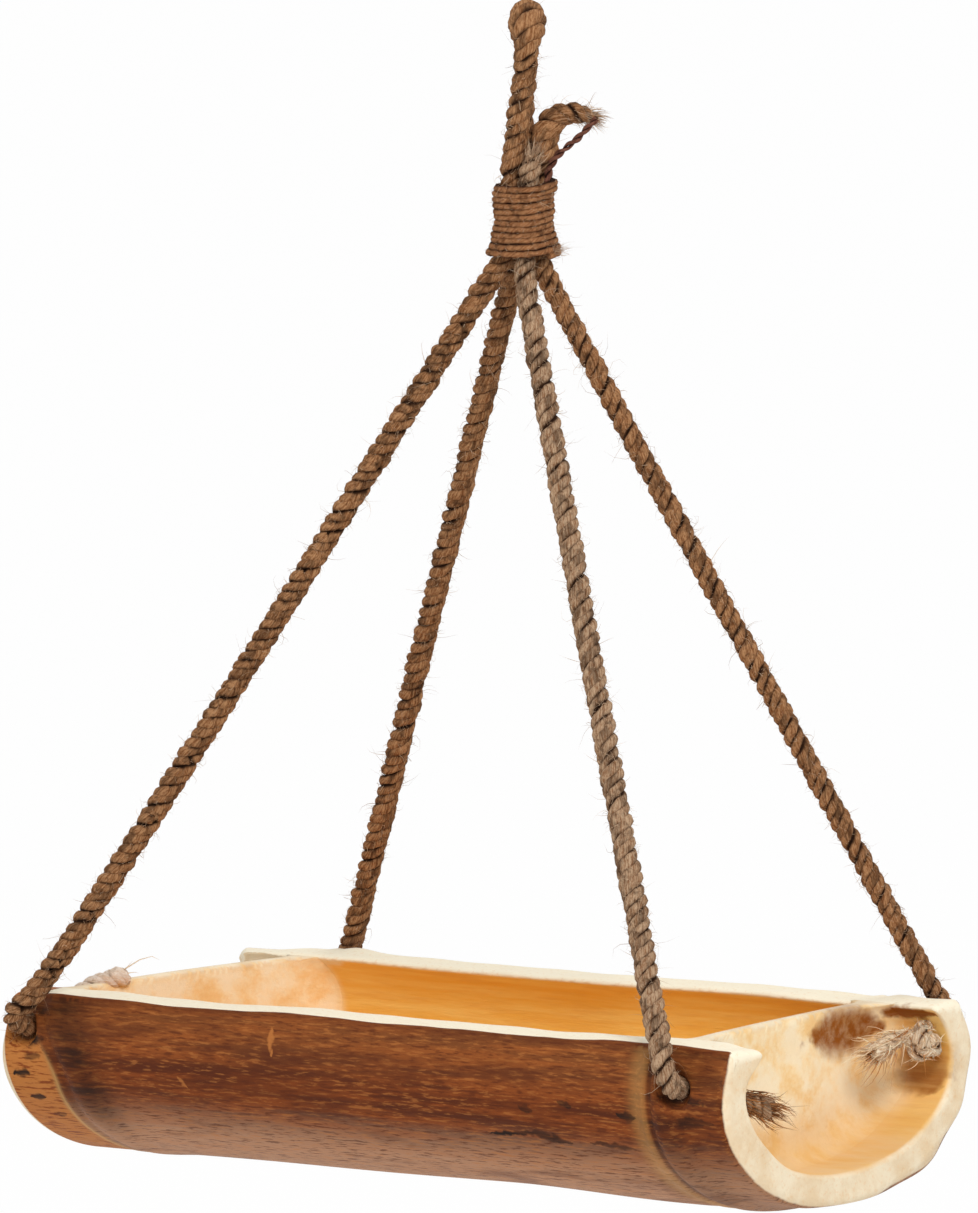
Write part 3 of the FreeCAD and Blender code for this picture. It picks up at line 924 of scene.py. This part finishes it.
        self.add_plate(culm, self.right_node, 0.0, 1.5, (3.0, 7.0), inside)
        self.add_plate(culm, self.left_node, self.left_tilt, 4.5, (3.0, 3.6), inside)
        piece = culm.build("culm", BambooFinish().material(), merge=0.002)
        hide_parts("bamboo_trough")
        return piece

    def add_plate(self, culm: Surface, node: float, tilt: float, dish: float, fillets: tuple,
                  inside: dict) -> None:
        """Add a node's plate: its two faces and the strips that join their top and bottom edges.

        The top strip rises by 0.7 times the root of 1 - (2t - 1)^4 at a share t across it.

        Args:
            culm: Receives the patches.
            node, tilt, dish: Place and form of the plate.
            fillets: Radius where the left and the right face meet the wall.
            inside: Values of points that are far from the skin.
        """
        t = np.linspace(0, 1, 7)[None, :, None]
        crown = 0.7 * np.maximum(1 - np.abs(2 * t[..., 0] - 1) ** 4, 0) ** 0.5
        left = self.plate_grid(node, tilt, dish, -1, fillets[0])
        right = self.plate_grid(node, tilt, dish, 1, fillets[1])
        culm.add_grid(self.place(left), plate=1.0, **inside)
        culm.add_grid(self.place(right), flip=True, plate=self.plate_share(right), **inside)
        top, bottom = (between(left[row][:, None], right[row][:, None], t) for row in (0, -1))
        top[..., 2] += crown * smoothstep(34.8, 33.0, np.abs(top[..., 1]))
        culm.add_grid(self.place(top), cut=1.0, **inside)
        culm.add_grid(self.place(bottom), flip=True, cut=1.0, **inside)

    def end_face(self, outer: Points, inner: Points, front: Points, back: Points) -> Points:
        """Sawn end between the skin's and the bore's last rings.

        A point is shared between the two rings, and near the rim it takes on the rim strip's rise.
        """
        share = (front[:, 1] - front[0, 1]) / (front[-1, 1] - front[0, 1])
        grid = between(outer[:, None], inner[:, None], share[None, :, None])
        reach = np.exp(-np.arange(len(outer)) / 1.2)[:, None, None]
        for strip, fade in ((front, reach), (back, reach[::-1])):
            grid = grid + fade * (strip - between(strip[0], strip[-1], share[:, None]))[None]
        return grid


def round_way(angle: Points, side: Points, up: Points) -> Points:
    """Direction at an angle from one cross direction towards the other."""
    return np.cos(angle)[..., None] * side + np.sin(angle)[..., None] * up


@dataclass
class Yarn:
    """How a rope or twine is laid up: its strands' size, twist and hair."""

    diameter: float = 5.8
    strands: int = 3
    pitch: float = 8.8
    step: float = 0.7
    sides: int = 11
    hair_per_mm: float = 10.0
    hair_length: float = 1.9
    seed: int = 1

    @property
    def strand_radius(self) -> float:
        """Radius of a strand, so that all of them fill the diameter."""
        if self.strands == 1:
            return 0.5 * self.diameter
        return 0.5 * self.diameter / (1 + 1 / math.sin(math.pi / self.strands))

    @property
    def lay_radius(self) -> float:
        """How far a strand's middle is from the rope's line."""
        return 0.0 if self.strands == 1 else 0.5 * self.diameter - self.strand_radius

    def frames(self, line: Points, reference: Points) -> tuple[Points, Points, Points]:
        """Direction and two cross directions at each point of a line.

        The first cross direction is the reference less its part along the line.
        """
        along = unit(np.gradient(line, axis=0))
        side = unit(reference - (along @ reference)[:, None] * along)
        return along, side, np.cross(along, side)

    def strand_lines(self, line: Points, reference: Points, swell: Points | float = 1.0) -> list:
        """Lines of the strands: helices round the line, with slow random unevenness."""
        _, side, up = self.frames(line, reference)
        travel = spans(line)
        lines = []
        for number in range(self.strands):
            turn = 2 * math.pi * (travel / self.pitch + number / self.strands)
            turn = turn + 0.3 * soft_noise(travel, self.seed + 10 * number, fastest=0.45)
            uneven = 1 + 0.10 * soft_noise(travel, self.seed + 10 * number + 3, fastest=0.9)
            reach = self.lay_radius * swell * uneven
            lines.append(line + reach[:, None] * round_way(turn, side, up))
        return lines

    def lay(self, surface: Surface, line: Points, reference: Points, swell: Points | float = 1.0,
            outward: Points | None = None) -> None:
        """Add the strands to a surface.

        A strand's point is its line plus its radius times the cosine and sine round it, and the
        radius swells and narrows at random by a tenth.

        Args:
            surface: Receives the patches.
            line: The rope's line, evenly spaced.
            reference: Direction that the line never runs along.
            swell: Times the size, one number or one for each point of the line.
            outward: Where given, the way out of a winding at each point; the side that faces inward gets
                painted shade.
        """
        swell = np.broadcast_to(np.asarray(swell, float), (len(line),))
        travel = spans(line)
        angle = np.linspace(0, 2 * math.pi, self.sides, endpoint=False)[None, :]
        for number, middle in enumerate(self.strand_lines(line, reference, swell)):
            _, side, up = self.frames(middle, reference)
            plump = 1 + 0.10 * soft_noise(travel, self.seed + 10 * number + 5, slowest=0.2, fastest=2.2)
            lumps = 1 + 0.06 * np.sin(3 * angle + 1.3 * travel[:, None] + number)
            radius = (1.04 * self.strand_radius * swell * plump)[:, None] * lumps
            grid = middle[:, None] + radius[..., None] * round_way(angle, side[:, None], up[:, None])
            # crest: low in the grooves and on a winding's inward side, where the finish paints shade
            if outward is None:
                crest = np.linalg.norm(grid - line[:, None], axis=-1) / (0.5 * self.diameter * swell[:, None])
            else:
                crest = 0.5 + 0.5 * (unit(grid - middle[:, None]) * outward[:, None]).sum(axis=-1)
            yarn = angle + travel[:, None] * 0.9
            along = np.broadcast_to(travel[:, None] + 97.0 * number, yarn.shape)
            fibre = np.stack([np.cos(yarn), np.sin(yarn), along], axis=-1)
            surface.add_grid(grid, closed=True, fibre=fibre, crest=crest)
            ends = np.random.default_rng(self.sides).uniform(-1, 1, (3, self.sides, 3))
            surface.cap(grid[0], flip=True, crest=0.95, fibre=ends)
            surface.cap(grid[-1], crest=0.95, fibre=ends)

    def hair(self, line: Points, reference: Points, seed: int) -> tuple[Points, Points, Points]:
        """Roots and directions of the loose fibres on a rope.

        Returns:
            Root points, directions that lean along and away from the rope, and lengths.
        """
        draw = np.random.default_rng(seed)
        travel = spans(line)
        count = int(travel[-1] * self.hair_per_mm)
        pick = draw.uniform(0, travel[-1], count)
        known = (line, *self.frames(line, reference))
        middle, along, side, up = (read_off(pick, travel, rows) for rows in known)
        outward = round_way(draw.uniform(0, 2 * math.pi, count), side, up)
        lean = draw.normal(0, 1.0, count)[:, None]
        whirl = draw.normal(0, 0.8, count)[:, None]
        roots = middle + outward * 0.40 * self.diameter
        rise = draw.uniform(0.15, 0.8, count)[:, None]
        ways = unit(outward * rise + lean * along + whirl * np.cross(along, outward))
        lengths = self.hair_length * draw.gamma(2.2, 0.36, count)
        return roots, ways, np.clip(lengths, 0.5, 2.4 * self.hair_length)


def spline_line(name: str, route: list, step: float) -> Points:
    """Points of a NURBS spline with the route's points as its control points.

    Args:
        name: Name for the passing curve.
        route: Control points in metres.
        step: Spacing of the result in millimetres.

    Returns:
        Evenly spaced points in millimetres.
    """
    curve = bpy.data.curves.new(name, "CURVE")
    curve.dimensions = "3D"
    curve.resolution_u = 24
    spline = curve.splines.new("NURBS")
    spline.points.add(len(route) - 1)
    for point, place in zip(spline.points, route):
        point.co = (*place, 1.0)
    spline.order_u = 3
    spline.use_endpoint_u = True
    holder = place_object(name, curve)
    mesh = bpy.data.meshes.new_from_object(holder)
    points = np.empty(len(mesh.vertices) * 3)
    mesh.vertices.foreach_get("co", points)
    bpy.data.objects.remove(holder)
    bpy.data.meshes.remove(mesh)
    bpy.data.curves.remove(curve)
    return evenly(points.reshape(-1, 3) / MM, step)


def hair_piece(name: str, roots: Points, ways: Points, lengths: Points, finish: Material, seed: int,
               thickness: float = 0.055, bend: float = 0.75) -> Object:
    """Thin curved fibres as one mesh.

    A fibre's point at a share t of its length is its root plus the length times this: its way
    times t, a random bend times half t squared and a random curl times the sine of 3.1 t. It is a
    three-sided tube that tapers to almost nothing.

    Args:
        name: Name of the piece.
        roots, ways, lengths: Where the fibres start, their first directions and their lengths.
        finish: Material of the fibres.
        seed: Chooses the bends.
        thickness: Radius at the root.
        bend: Size of the bends as a share of the length.

    Returns:
        The piece.
    """
    draw = np.random.default_rng(seed)
    count = len(roots)
    share = np.linspace(0, 1, 4)[None, :, None]
    bends = draw.normal(0, bend, (count, 1, 3))
    curls = draw.normal(0, 0.35 * bend, (count, 1, 3))
    reach = lengths[:, None, None]
    course = ways[:, None] * share + bends * share ** 2 * 0.5 + curls * np.sin(3.1 * share)
    line = roots[:, None] + reach * course
    along = unit(np.gradient(line, axis=1))
    side = unit(np.cross(along, np.array([0.31, 0.2, 0.93])))
    up = np.cross(along, side)
    angle = np.linspace(0, 2 * math.pi, 3, endpoint=False)[None, None, :]
    taper = thickness * (1.05 - share)[..., None] * draw.uniform(0.7, 1.4, (count, 1, 1, 1))
    tube = line[:, :, None] + taper * round_way(angle, side[:, :, None], up[:, :, None])
    rows, columns = tube.shape[1], tube.shape[2]
    base = grid_quads(rows, columns, closed=True)
    quads = (base[None] + (np.arange(count) * rows * columns)[:, None, None]).reshape(-1, 4)
    fibres = Surface.empty("pick")
    fibres.points.append(tube.reshape(-1, 3))
    fibres.quads.append(quads)
    fibres.values["pick"].append(np.repeat(draw.uniform(0, 1, count), rows * columns)[:, None])
    return fibres.build(name, finish)


@dataclass
class Rope:
    """One jute rope along its route, with its hair and, where frayed, its frayed end.

    The route follows the part's points, in metres, moved to lie as in the photograph.
    """

    node: str
    route: list
    reference: tuple
    far_end: FarEnd
    seed: int
    girth: float = 1.0
    bulge: float = 0.0
    frayed: bool = False
    finish: str = "rope"

    def squeeze(self, line: Points) -> Points:
        """Share of its size that the rope has at each point: less in the twine, more in the loop's bend."""
        height = line[:, 2]
        bound = 0.15 * smoothstep(-60.0, -55.0, height) * smoothstep(-31.0, -37.0, height)
        return self.girth * (1 - bound + 0.5 * smoothstep(-6.0, 1.5, height))

    def build(self, finishes: dict[str, Material], pieces: list) -> Object:
        """Args:
            finishes: The materials that the ropes share, by name.
            pieces: Not used.

        Returns:
            The rope's piece.
        """
        yarn = Yarn(seed=self.seed)
        line = spline_line(self.node + "_line", self.route, yarn.step)
        reference = unit(np.array(self.reference, float))
        surface = Surface.empty("fibre", "crest")
        swell = self.squeeze(line)
        if self.frayed:
            from_end = spans(line)[-1] - spans(line)
            fold = bell(from_end, 16.0, 7.0)
            swell = swell * (1 - 0.45 * smoothstep(6.0, 0.0, from_end) + self.bulge * fold)
        yarn.lay(surface, line, reference, swell)
        rope = surface.build(self.node + "_strands", finishes[self.finish])
        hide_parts(self.node)
        roots, ways, lengths = yarn.hair(line, reference, self.seed + 50)
        hair = hair_piece(self.node + "_hair", roots, ways, lengths, finishes["fibres"], self.seed + 60)
        if self.frayed:
            self.frayed_end(line, finishes["fibres"])
        return rope

    def frayed_end(self, line: Points, finish: Material) -> Object:
        """Pointed bundle of loose fibres at the rope's cut end."""
        draw = np.random.default_rng(self.seed + 70)
        count = 320
        way = unit(line[-1] - line[-4])
        spread = draw.normal(0, 1.0, (count, 3))
        roots = line[-1] - way * draw.uniform(0.5, 5.0, count)[:, None] + spread * 0.7
        ways = unit(way + 0.2 * spread + np.array([0.0, 0.0, -0.12]))
        piece = hair_piece(self.node + "_frayed_end", roots, ways, draw.uniform(1.5, 4.2, count), finish,
                           self.seed + 71, thickness=0.1, bend=0.25)
        return piece


@dataclass
class Knot:
    """Overhand stopper knot in a pocket, with a loose tail that frays.

    The knot follows a trefoil: (sin t + 2 sin 2t, cos t - 2 cos 2t, -sin 3t), flattened towards
    the rope's end.
    """

    node: str
    end: tuple
    shift: float
    tail: list
    seed: int
    reach: float = 5.2
    length: float = 9.7
    strand: float = 4.3
    splay: float = 0.12
    frays: int = 260
    hairy: float = 30.0
    finish: str = "rope"
    loose: str = "knot_fibres"

    def build(self, finishes: dict[str, Material]) -> list:
        """Make the knot and its frayed tail.

        Args:
            finishes: The materials that the knots share, by name.

        Returns:
            The knot's pieces.
        """
        inward = -math.copysign(1.0, self.end[1])
        yarn = Yarn(diameter=self.strand, pitch=7.2, sides=9, step=0.6, seed=self.seed)
        turn = np.linspace(0, 2 * math.pi, 160)
        flat = (self.reach - 0.5 * self.strand) / 3
        deep = 0.5 * (self.length - self.strand)
        spin = 0.7 * self.seed
        round_x, round_z = np.sin(turn) + 2 * np.sin(2 * turn), np.cos(turn) - 2 * np.cos(2 * turn)
        x = flat * (round_x * math.cos(spin) - round_z * math.sin(spin))
        z = flat * (round_x * math.sin(spin) + round_z * math.cos(spin))
        y = -deep * np.sin(3 * turn)
        middle = np.array(self.end) + np.array([self.shift, inward * (0.5 * self.length + 0.2), 0.0])
        loop = evenly(middle + np.stack([x, y, z], axis=-1), yarn.step)
        surface = Surface.empty("fibre", "crest")
        yarn.lay(surface, loop, unit(np.array([0.2, 1.0, 0.1])))
        stub = np.linspace(0, 1, 8)[:, None] * np.array([0.0, inward * 5.0, 0.0]) + np.array(self.end)
        Yarn(diameter=5.6, seed=self.seed).lay(surface, evenly(stub, 0.7), np.array([0.1, 0.0, 1.0]))
        route = [middle] + [np.array(self.end) + np.array(step) for step in self.tail]
        tail = spline_line(self.node + "_tail", [tuple(p * MM) for p in route], 0.6)
        tail = tail[: int(0.86 * len(tail))]
        loosen = 1 + 0.35 * smoothstep(0.45, 1.0, np.linspace(0, 1, len(tail)))
        yarn.lay(surface, tail, unit(np.array([0.3, 0.1, 1.0])), loosen)
        knot = surface.build(self.node + "_turns", finishes[self.finish])
        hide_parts(self.node)
        way = unit(tail[-1] - tail[-5])
        draw = np.random.default_rng(self.seed + 5)
        count = self.frays
        spread = draw.normal(0, 1.0, (count, 3))
        roots = tail[-1] - way * draw.uniform(0.3, 10.0, count)[:, None] + 1.1 * spread
        frays = (roots, unit(way + self.splay * spread), draw.uniform(3.0, 9.0, count))
        whole = np.concatenate([loop, tail])
        roots, ways, lengths = yarn.hair(whole, unit(np.array([0.3, 0.8, 0.5])), self.seed + 6)
        near = np.linalg.norm(roots - middle, axis=1) < self.hairy
        roots, ways, lengths = (np.concatenate([a[near], b]) for a, b in zip((roots, ways, lengths), frays))
        hair = hair_piece(self.node + "_fibres", roots, ways, lengths, finishes[self.loose], self.seed + 7,
                          thickness=0.17, bend=0.3)
        return [knot, hair]


@dataclass
class Whipping:
    """Twine wound round the four strands below the loop, with its free end.

    It stands in its own frame: up along its axis, which leans towards the right end.
    """

    base: tuple = (-3.4, 0.0, -55.7)
    lean: float = 3.5
    height: float = 19.5
    turns: float = 12.5
    twine: float = 1.7
    half_square: float = 2.5
    rope_radius: float = 2.5
    mouth_height: float = 7.5
    mouth_flare: float = 1.9
    free_end: tuple = ((3.6, 1.0, -37.0), (4.6, 1.7, -32.6), (7.1, 3.0, -29.6), (9.5, 4.5, -27.7),
                       (12.0, 6.0, -25.0), (14.5, 7.6, -21.9))

    def hull(self, angle: Points) -> Points:
        """Reach of a string drawn tight round four ropes set in a square, by angle.

        It is the furthest of the four ropes' middles in that direction plus the rope's radius,
        eased between the corners.
        """
        quarter = np.abs(((angle + math.pi / 4) % (math.pi / 2)) - math.pi / 4)
        corner = math.hypot(self.half_square, self.half_square)
        tight = self.half_square / np.cos(quarter) + self.rope_radius
        rounded = corner * np.cos(math.pi / 4 - quarter) + self.rope_radius
        return 0.5 * (tight + rounded)

    def place(self, points: Points) -> Points:
        """Move points of its own frame to the part's frame."""
        cosine, sine = math.cos(math.radians(self.lean)), math.sin(math.radians(self.lean))
        turn = np.array([[cosine, 0, sine], [0, 1, 0], [-sine, 0, cosine]])
        return points @ turn.T + np.array(self.base)

    def winding(self) -> tuple[Points, Points]:
        """Line of the wound twine: a helix whose radius follows the hull, wider at the mouth.

        The turns tilt a little, wander up and down, and one near the top stands proud.

        Returns:
            The line's points and the way out of the winding at each.
        """
        turn = np.linspace(0, 2 * math.pi * self.turns, 3200)
        share = turn / turn[-1]
        pitch = (self.height - self.twine) / self.turns
        height = 0.5 * self.twine + pitch * turn / (2 * math.pi)
        height = height + 0.13 * soft_noise(turn, 7, slowest=0.3, fastest=1.7) + 0.35 * np.cos(turn - 0.9)
        height = np.clip(height, 0.3, self.height - 0.3)
        flare = self.mouth_flare * np.clip(1 - height / self.mouth_height, 0, 1)
        uneven = 0.22 * soft_noise(turn, 8, slowest=0.2, fastest=2.1)
        reach = self.hull(turn) + flare + 0.42 * self.twine + uneven
        proud = bell(share, 0.93, 0.04) * (0.5 + 0.5 * np.cos(turn - 0.4))
        reach = reach + 1.9 * proud
        outward = np.stack([np.cos(turn), np.sin(turn), 0 * turn], axis=-1)
        return outward * reach[:, None] + np.array([0.0, 0.0, 1.0]) * height[:, None], outward

    def build(self, finishes: dict[str, Material]) -> list:
        """Wind the twine, hang its free end and add its hair.

        Args:
            finishes: The materials that the twine and its hair use, by name.

        Returns:
            The whipping's pieces.
        """
        twine = Yarn(diameter=self.twine, strands=1, sides=10, step=0.42, seed=77, hair_per_mm=3.0,
                     hair_length=1.3)
        wound, outward = self.winding()
        line = self.place(evenly(wound, twine.step))
        travel = spans(wound)
        outward = read_off(np.linspace(0, travel[-1], len(line)), travel, outward)
        surface = Surface.empty("fibre", "crest")
        upright = unit(np.array([0.06, 0.0, 1.0]))
        twine.lay(surface, line, upright, 1.0, outward)
        turns = surface.build("whipping_turns", finishes["twine"])
        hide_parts("whipping_twine")
        loose = spline_line("twine_tail", [tuple(np.array(p) * MM) for p in self.free_end], 0.4)
        surface = Surface.empty("fibre", "crest")
        # the free end takes the twine's copy with painted shade
        Yarn(diameter=2.1, strands=2, pitch=6.0, sides=8, step=0.4, seed=78).lay(
            surface, loose, unit(np.array([0.0, 1.0, 0.2])), 1 - 0.2 * np.linspace(0, 1, len(loose)))
        tail = surface.build("whipping_free_end", finishes["dark_twine"])
        roots, ways, lengths = twine.hair(line, upright, 78)
        draw = np.random.default_rng(79)
        tuft = self.place(np.array([[8.8, 1.5, 2.2]])) + draw.normal(0, 0.5, (70, 3))
        tuft_ways = unit(np.array([0.9, 0.5, 0.35]) + draw.normal(0, 0.45, (70, 3)))
        roots, ways = np.concatenate([roots, tuft]), np.concatenate([ways, tuft_ways])
        lengths = np.concatenate([lengths, draw.uniform(1.5, 3.6, 70)])
        hair = hair_piece("whipping_hair", roots, ways, lengths, finishes["fibres"], 80, thickness=0.05)
        return [turns, tail, hair]


@dataclass(frozen=True)
class Viewpoint:
    """The photograph's camera, worked out from the culm's corners and the ropes.

    Lengths are in units of 50 mm, and pixels are those of a 978 by 1213 image.
    """

    azimuth: float = 38.52
    elevation: float = 7.17
    roll: float = -1.82
    distance: float = 100.0
    pixels_per_unit: float = 204.0
    origin_pixel: tuple = (482.8, 995.7)
    image: tuple = (978, 1213)
    unit_length: float = 50.0
    sensor: float = 36.0

    def build(self) -> None:
        """Make the camera and set it as the scene's."""
        azimuth, elevation, roll = (math.radians(a) for a in (self.azimuth, self.elevation, self.roll))
        right = np.array([math.cos(azimuth), math.sin(azimuth), 0.0])
        forward = np.array([-math.sin(azimuth) * math.cos(elevation), math.cos(azimuth) * math.cos(elevation),
                            -math.sin(elevation)])
        up = np.cross(right, forward)
        turned = right * math.cos(roll) + up * math.sin(roll)
        upright = -right * math.sin(roll) + up * math.cos(roll)
        beside = (self.origin_pixel[0] - 0.5 * self.image[0]) / self.pixels_per_unit
        above = -(self.origin_pixel[1] - 0.5 * self.image[1]) / self.pixels_per_unit
        centre = (-beside * turned - above * upright - self.distance * forward) * self.unit_length
        centre = (centre + np.array([CULM_X, 0.0, RIM_Z])) * MM
        data = bpy.data.cameras.new("photo_camera")
        data.sensor_width = self.sensor
        data.lens = self.pixels_per_unit * self.distance / max(self.image) * self.sensor
        data.clip_start, data.clip_end = 0.1, 60.0
        camera = place_object("photo_camera", data)
        axes = Matrix([turned, upright, -forward]).transposed().to_4x4()
        camera.matrix_world = Matrix.Translation(Vector(centre)) @ axes
        bpy.context.scene.camera = camera


@dataclass
class Studio:
    """Pale floor, soft lamps and a world that looks white to the camera."""

    floor_drop: float = 0.40
    floor_half: float = 14.0
    world_level: float = 0.5
    aim: tuple = (-0.02, 0.0, -0.17)

    def build(self) -> None:
        """Make the floor, the lamps and the world."""
        corners = [(-1, -1), (1, -1), (1, 1), (-1, 1)]
        mesh = bpy.data.meshes.new("floor")
        points = [(x * self.floor_half, y * self.floor_half, -self.floor_drop) for x, y in corners]
        mesh.from_pydata(points, [], [(0, 1, 2, 3)])
        place_object("floor", mesh)
        material, recipe = Recipe.for_material("studio_floor")
        grain = recipe.noise((40.0, 40.0, 40.0), 2.0)
        shade = recipe.mix(grain, (0.86, 0.86, 0.855, 1), (0.89, 0.89, 0.885, 1))
        matt = recipe.node("BsdfPrincipled", {"Base Color": shade, "Roughness": 0.9})
        glow = recipe.node("Emission", {"Color": (1, 1, 1, 1), "Strength": 1.0})
        seen = recipe.math("MULTIPLY", self.straight_rays(recipe), 0.98)
        sockets = {0: seen, 1: matt.outputs[0], 2: glow.outputs[0]}
        recipe.close("OutputMaterial", recipe.node("MixShader", sockets))
        mesh.materials.append(material)
        self.lamp("key", (0.92, -0.74, 0.85), 0.5, 11.5)
        self.lamp("fill", (-0.9, -1.1, 0.1), 0.9, 2.6)
        self.lamp("back", (0.1, 1.0, 1.1), 0.8, 4.6)
        self.world()

    @staticmethod
    def straight_rays(recipe: Recipe) -> Socket:
        """One for rays from the camera, off gloss or through glass."""
        path = recipe.node("LightPath")
        seen = recipe.math("MAXIMUM", path.outputs["Is Camera Ray"], path.outputs["Is Glossy Ray"])
        return recipe.math("MAXIMUM", seen, path.outputs["Is Transmission Ray"])

    def lamp(self, name: str, place: tuple, size: float, power: float) -> None:
        """Square soft lamp aimed at the feeder's middle.

        Args:
            name: Name of the lamp.
            place: Where it stands, from the feeder's middle, in metres.
            size: Width of its face in metres.
            power: Its power in watts.
        """
        data = bpy.data.lights.new(name, "AREA")
        data.energy, data.size = power, size
        lamp = place_object(name, data)
        lamp.location = Vector(self.aim) + Vector(place)
        lamp.rotation_euler = Vector(place).to_track_quat("Z", "Y").to_euler()

    def world(self) -> None:
        """Even grey light from all round, white where the camera looks at it."""
        world = bpy.data.worlds.new("studio")
        bpy.context.scene.world = world
        world.use_nodes = True
        recipe = Recipe(world.node_tree)
        seen = self.straight_rays(recipe)
        soft = recipe.node("Background", {"Color": (1, 1, 1, 1), "Strength": self.world_level})
        white = recipe.node("Background", {"Color": (1, 1, 1, 1), "Strength": 1.0})
        sockets = {0: seen, 1: soft.outputs[0], 2: white.outputs[0]}
        recipe.close("OutputWorld", recipe.node("MixShader", sockets))


LEFT_ROUTE = [
    (-0.1298, -0.0404, -0.2469), (-0.1298, -0.0500, -0.2469), (-0.1286, -0.0542, -0.2418),
    (-0.1210, -0.0524, -0.2382), (-0.0102, -0.0048, -0.0608), (-0.0064, -0.0031, -0.0555),
    (-0.0055, -0.0026, -0.0490), (-0.0048, -0.0026, -0.0366), (-0.0029, -0.0027, -0.0287),
    (-0.0018, -0.0029, -0.0223), (-0.0002, -0.0027, -0.0158), (0.0014, -0.0029, -0.0100),
    (0.0044, -0.0056, -0.0036), (0.0026, -0.0031, 0.0029), (-0.0022, 0.0030, 0.0031),
    (-0.0048, 0.0058, -0.0034), (-0.0033, 0.0029, -0.0100), (-0.0037, 0.0026, -0.0156),
    (-0.0042, 0.0024, -0.0214), (-0.0049, 0.0026, -0.0285), (-0.0048, 0.0026, -0.0366),
    (-0.0055, 0.0026, -0.0490), (-0.0064, 0.0031, -0.0555), (-0.0108, 0.0047, -0.0609),
    (-0.1075, 0.0524, -0.2410), (-0.1103, 0.0538, -0.2462), (-0.1128, 0.0500, -0.2507),
    (-0.1128, 0.0404, -0.2507),
]
FRONT_RIGHT_ROUTE = [
    (0.0739, -0.0404, -0.2487), (0.0739, -0.0500, -0.2487), (0.0745, -0.0538, -0.2440),
    (0.0725, -0.0523, -0.2382), (0.0009, -0.0053, -0.0618), (-0.0004, -0.0031, -0.0559),
    (-0.0005, -0.0026, -0.0494), (0.0003, -0.0026, -0.0369), (0.0029, -0.0020, -0.0295),
]
BACK_RIGHT_ROUTE = [
    (0.0824, 0.0404, -0.2477), (0.0824, 0.0500, -0.2477), (0.0778, 0.0538, -0.2430),
    (0.0752, 0.0522, -0.2372), (0.0008, 0.0034, -0.0617), (-0.0004, 0.0031, -0.0559),
    (-0.0005, 0.0026, -0.0494), (0.0003, 0.0026, -0.0369), (0.0013, 0.0037, -0.0300),
    (0.0016, 0.0036, -0.0246), (0.0046, 0.0056, -0.0208), (0.0088, 0.0083, -0.0208),
    (0.0122, 0.0107, -0.0223),
]


def main() -> None:
    """Build the feeder, the studio and the camera, and log the pieces' face counts."""
    logging.basicConfig(level=logging.INFO, format="%(message)s")
    bpy.context.scene.view_settings.view_transform = "Standard"
    Viewpoint().build()
    finishes = Finishes().materials()
    knots = {
        "front_left": Knot("knot_front_left", (-129.8, -40.4, -246.9), -2.9,
                           [(0.4, 7.0, 3.5), (3.8, 16.0, 9.0), (11.5, 25.0, 9.5)], 1, strand=3.8, frays=6,
                           hairy=7.0, splay=0.05, finish="bleached_rope", loose="pale_fibres"),
        "back_left": Knot("knot_back_left", (-112.8, 40.4, -250.7), -3.3,
                          [(-2.4, -6.0, -1.2), (-4.4, -13.0, -4.5), (-8.0, -18.0, -6.5)], 2),
        "front_right": Knot("knot_front_right", (73.9, -40.4, -248.7), 2.1,
                            [(2.5, 6.0, -1.5), (6.5, 12.0, -5.5), (11.0, 18.0, -8.5)], 3),
        "back_right": Knot("knot_back_right", (82.4, 40.4, -247.7), 1.8,
                           [(1.0, -6.0, 1.2), (0.0, -13.5, 1.5), (-3.0, -22.0, -3.0)], 4, splay=0.26,
                           finish="pale_rope", loose="mixed_fibres"),
    }
    tied = {name: knot.build(finishes) for name, knot in knots.items()}
    whipping = Whipping().build(finishes)
    # the left rope and the back right rope use shaded_rope, a copy with painted shade
    ropes = (
        (Rope("left_rope_and_loop", LEFT_ROUTE, (0.6, 0.8, 0.0), FarEnd.OBJECT, 11, finish="shaded_rope"),
         tied["front_left"] + tied["back_left"] + whipping),
        (Rope("front_right_rope", FRONT_RIGHT_ROUTE, (0.6, 0.8, 0.0), FarEnd.BARE, 12, frayed=True),
         tied["front_right"]),
        (Rope("back_right_rope", BACK_RIGHT_ROUTE, (0.6, -0.8, 0.0), FarEnd.BARE, 13, 0.92, 0.36, True,
              "shaded_rope"), tied["back_right"]),
    )
    built = [Culm().build(), *whipping, *sum(tied.values(), [])]
    built += [rope.build(finishes, pieces) for rope, pieces in ropes]
    Studio().build()
    for piece in built:
        LOG.info("%s: %d faces", piece.name, len(piece.data.polygons))


if __name__ == "__main__":
    main()
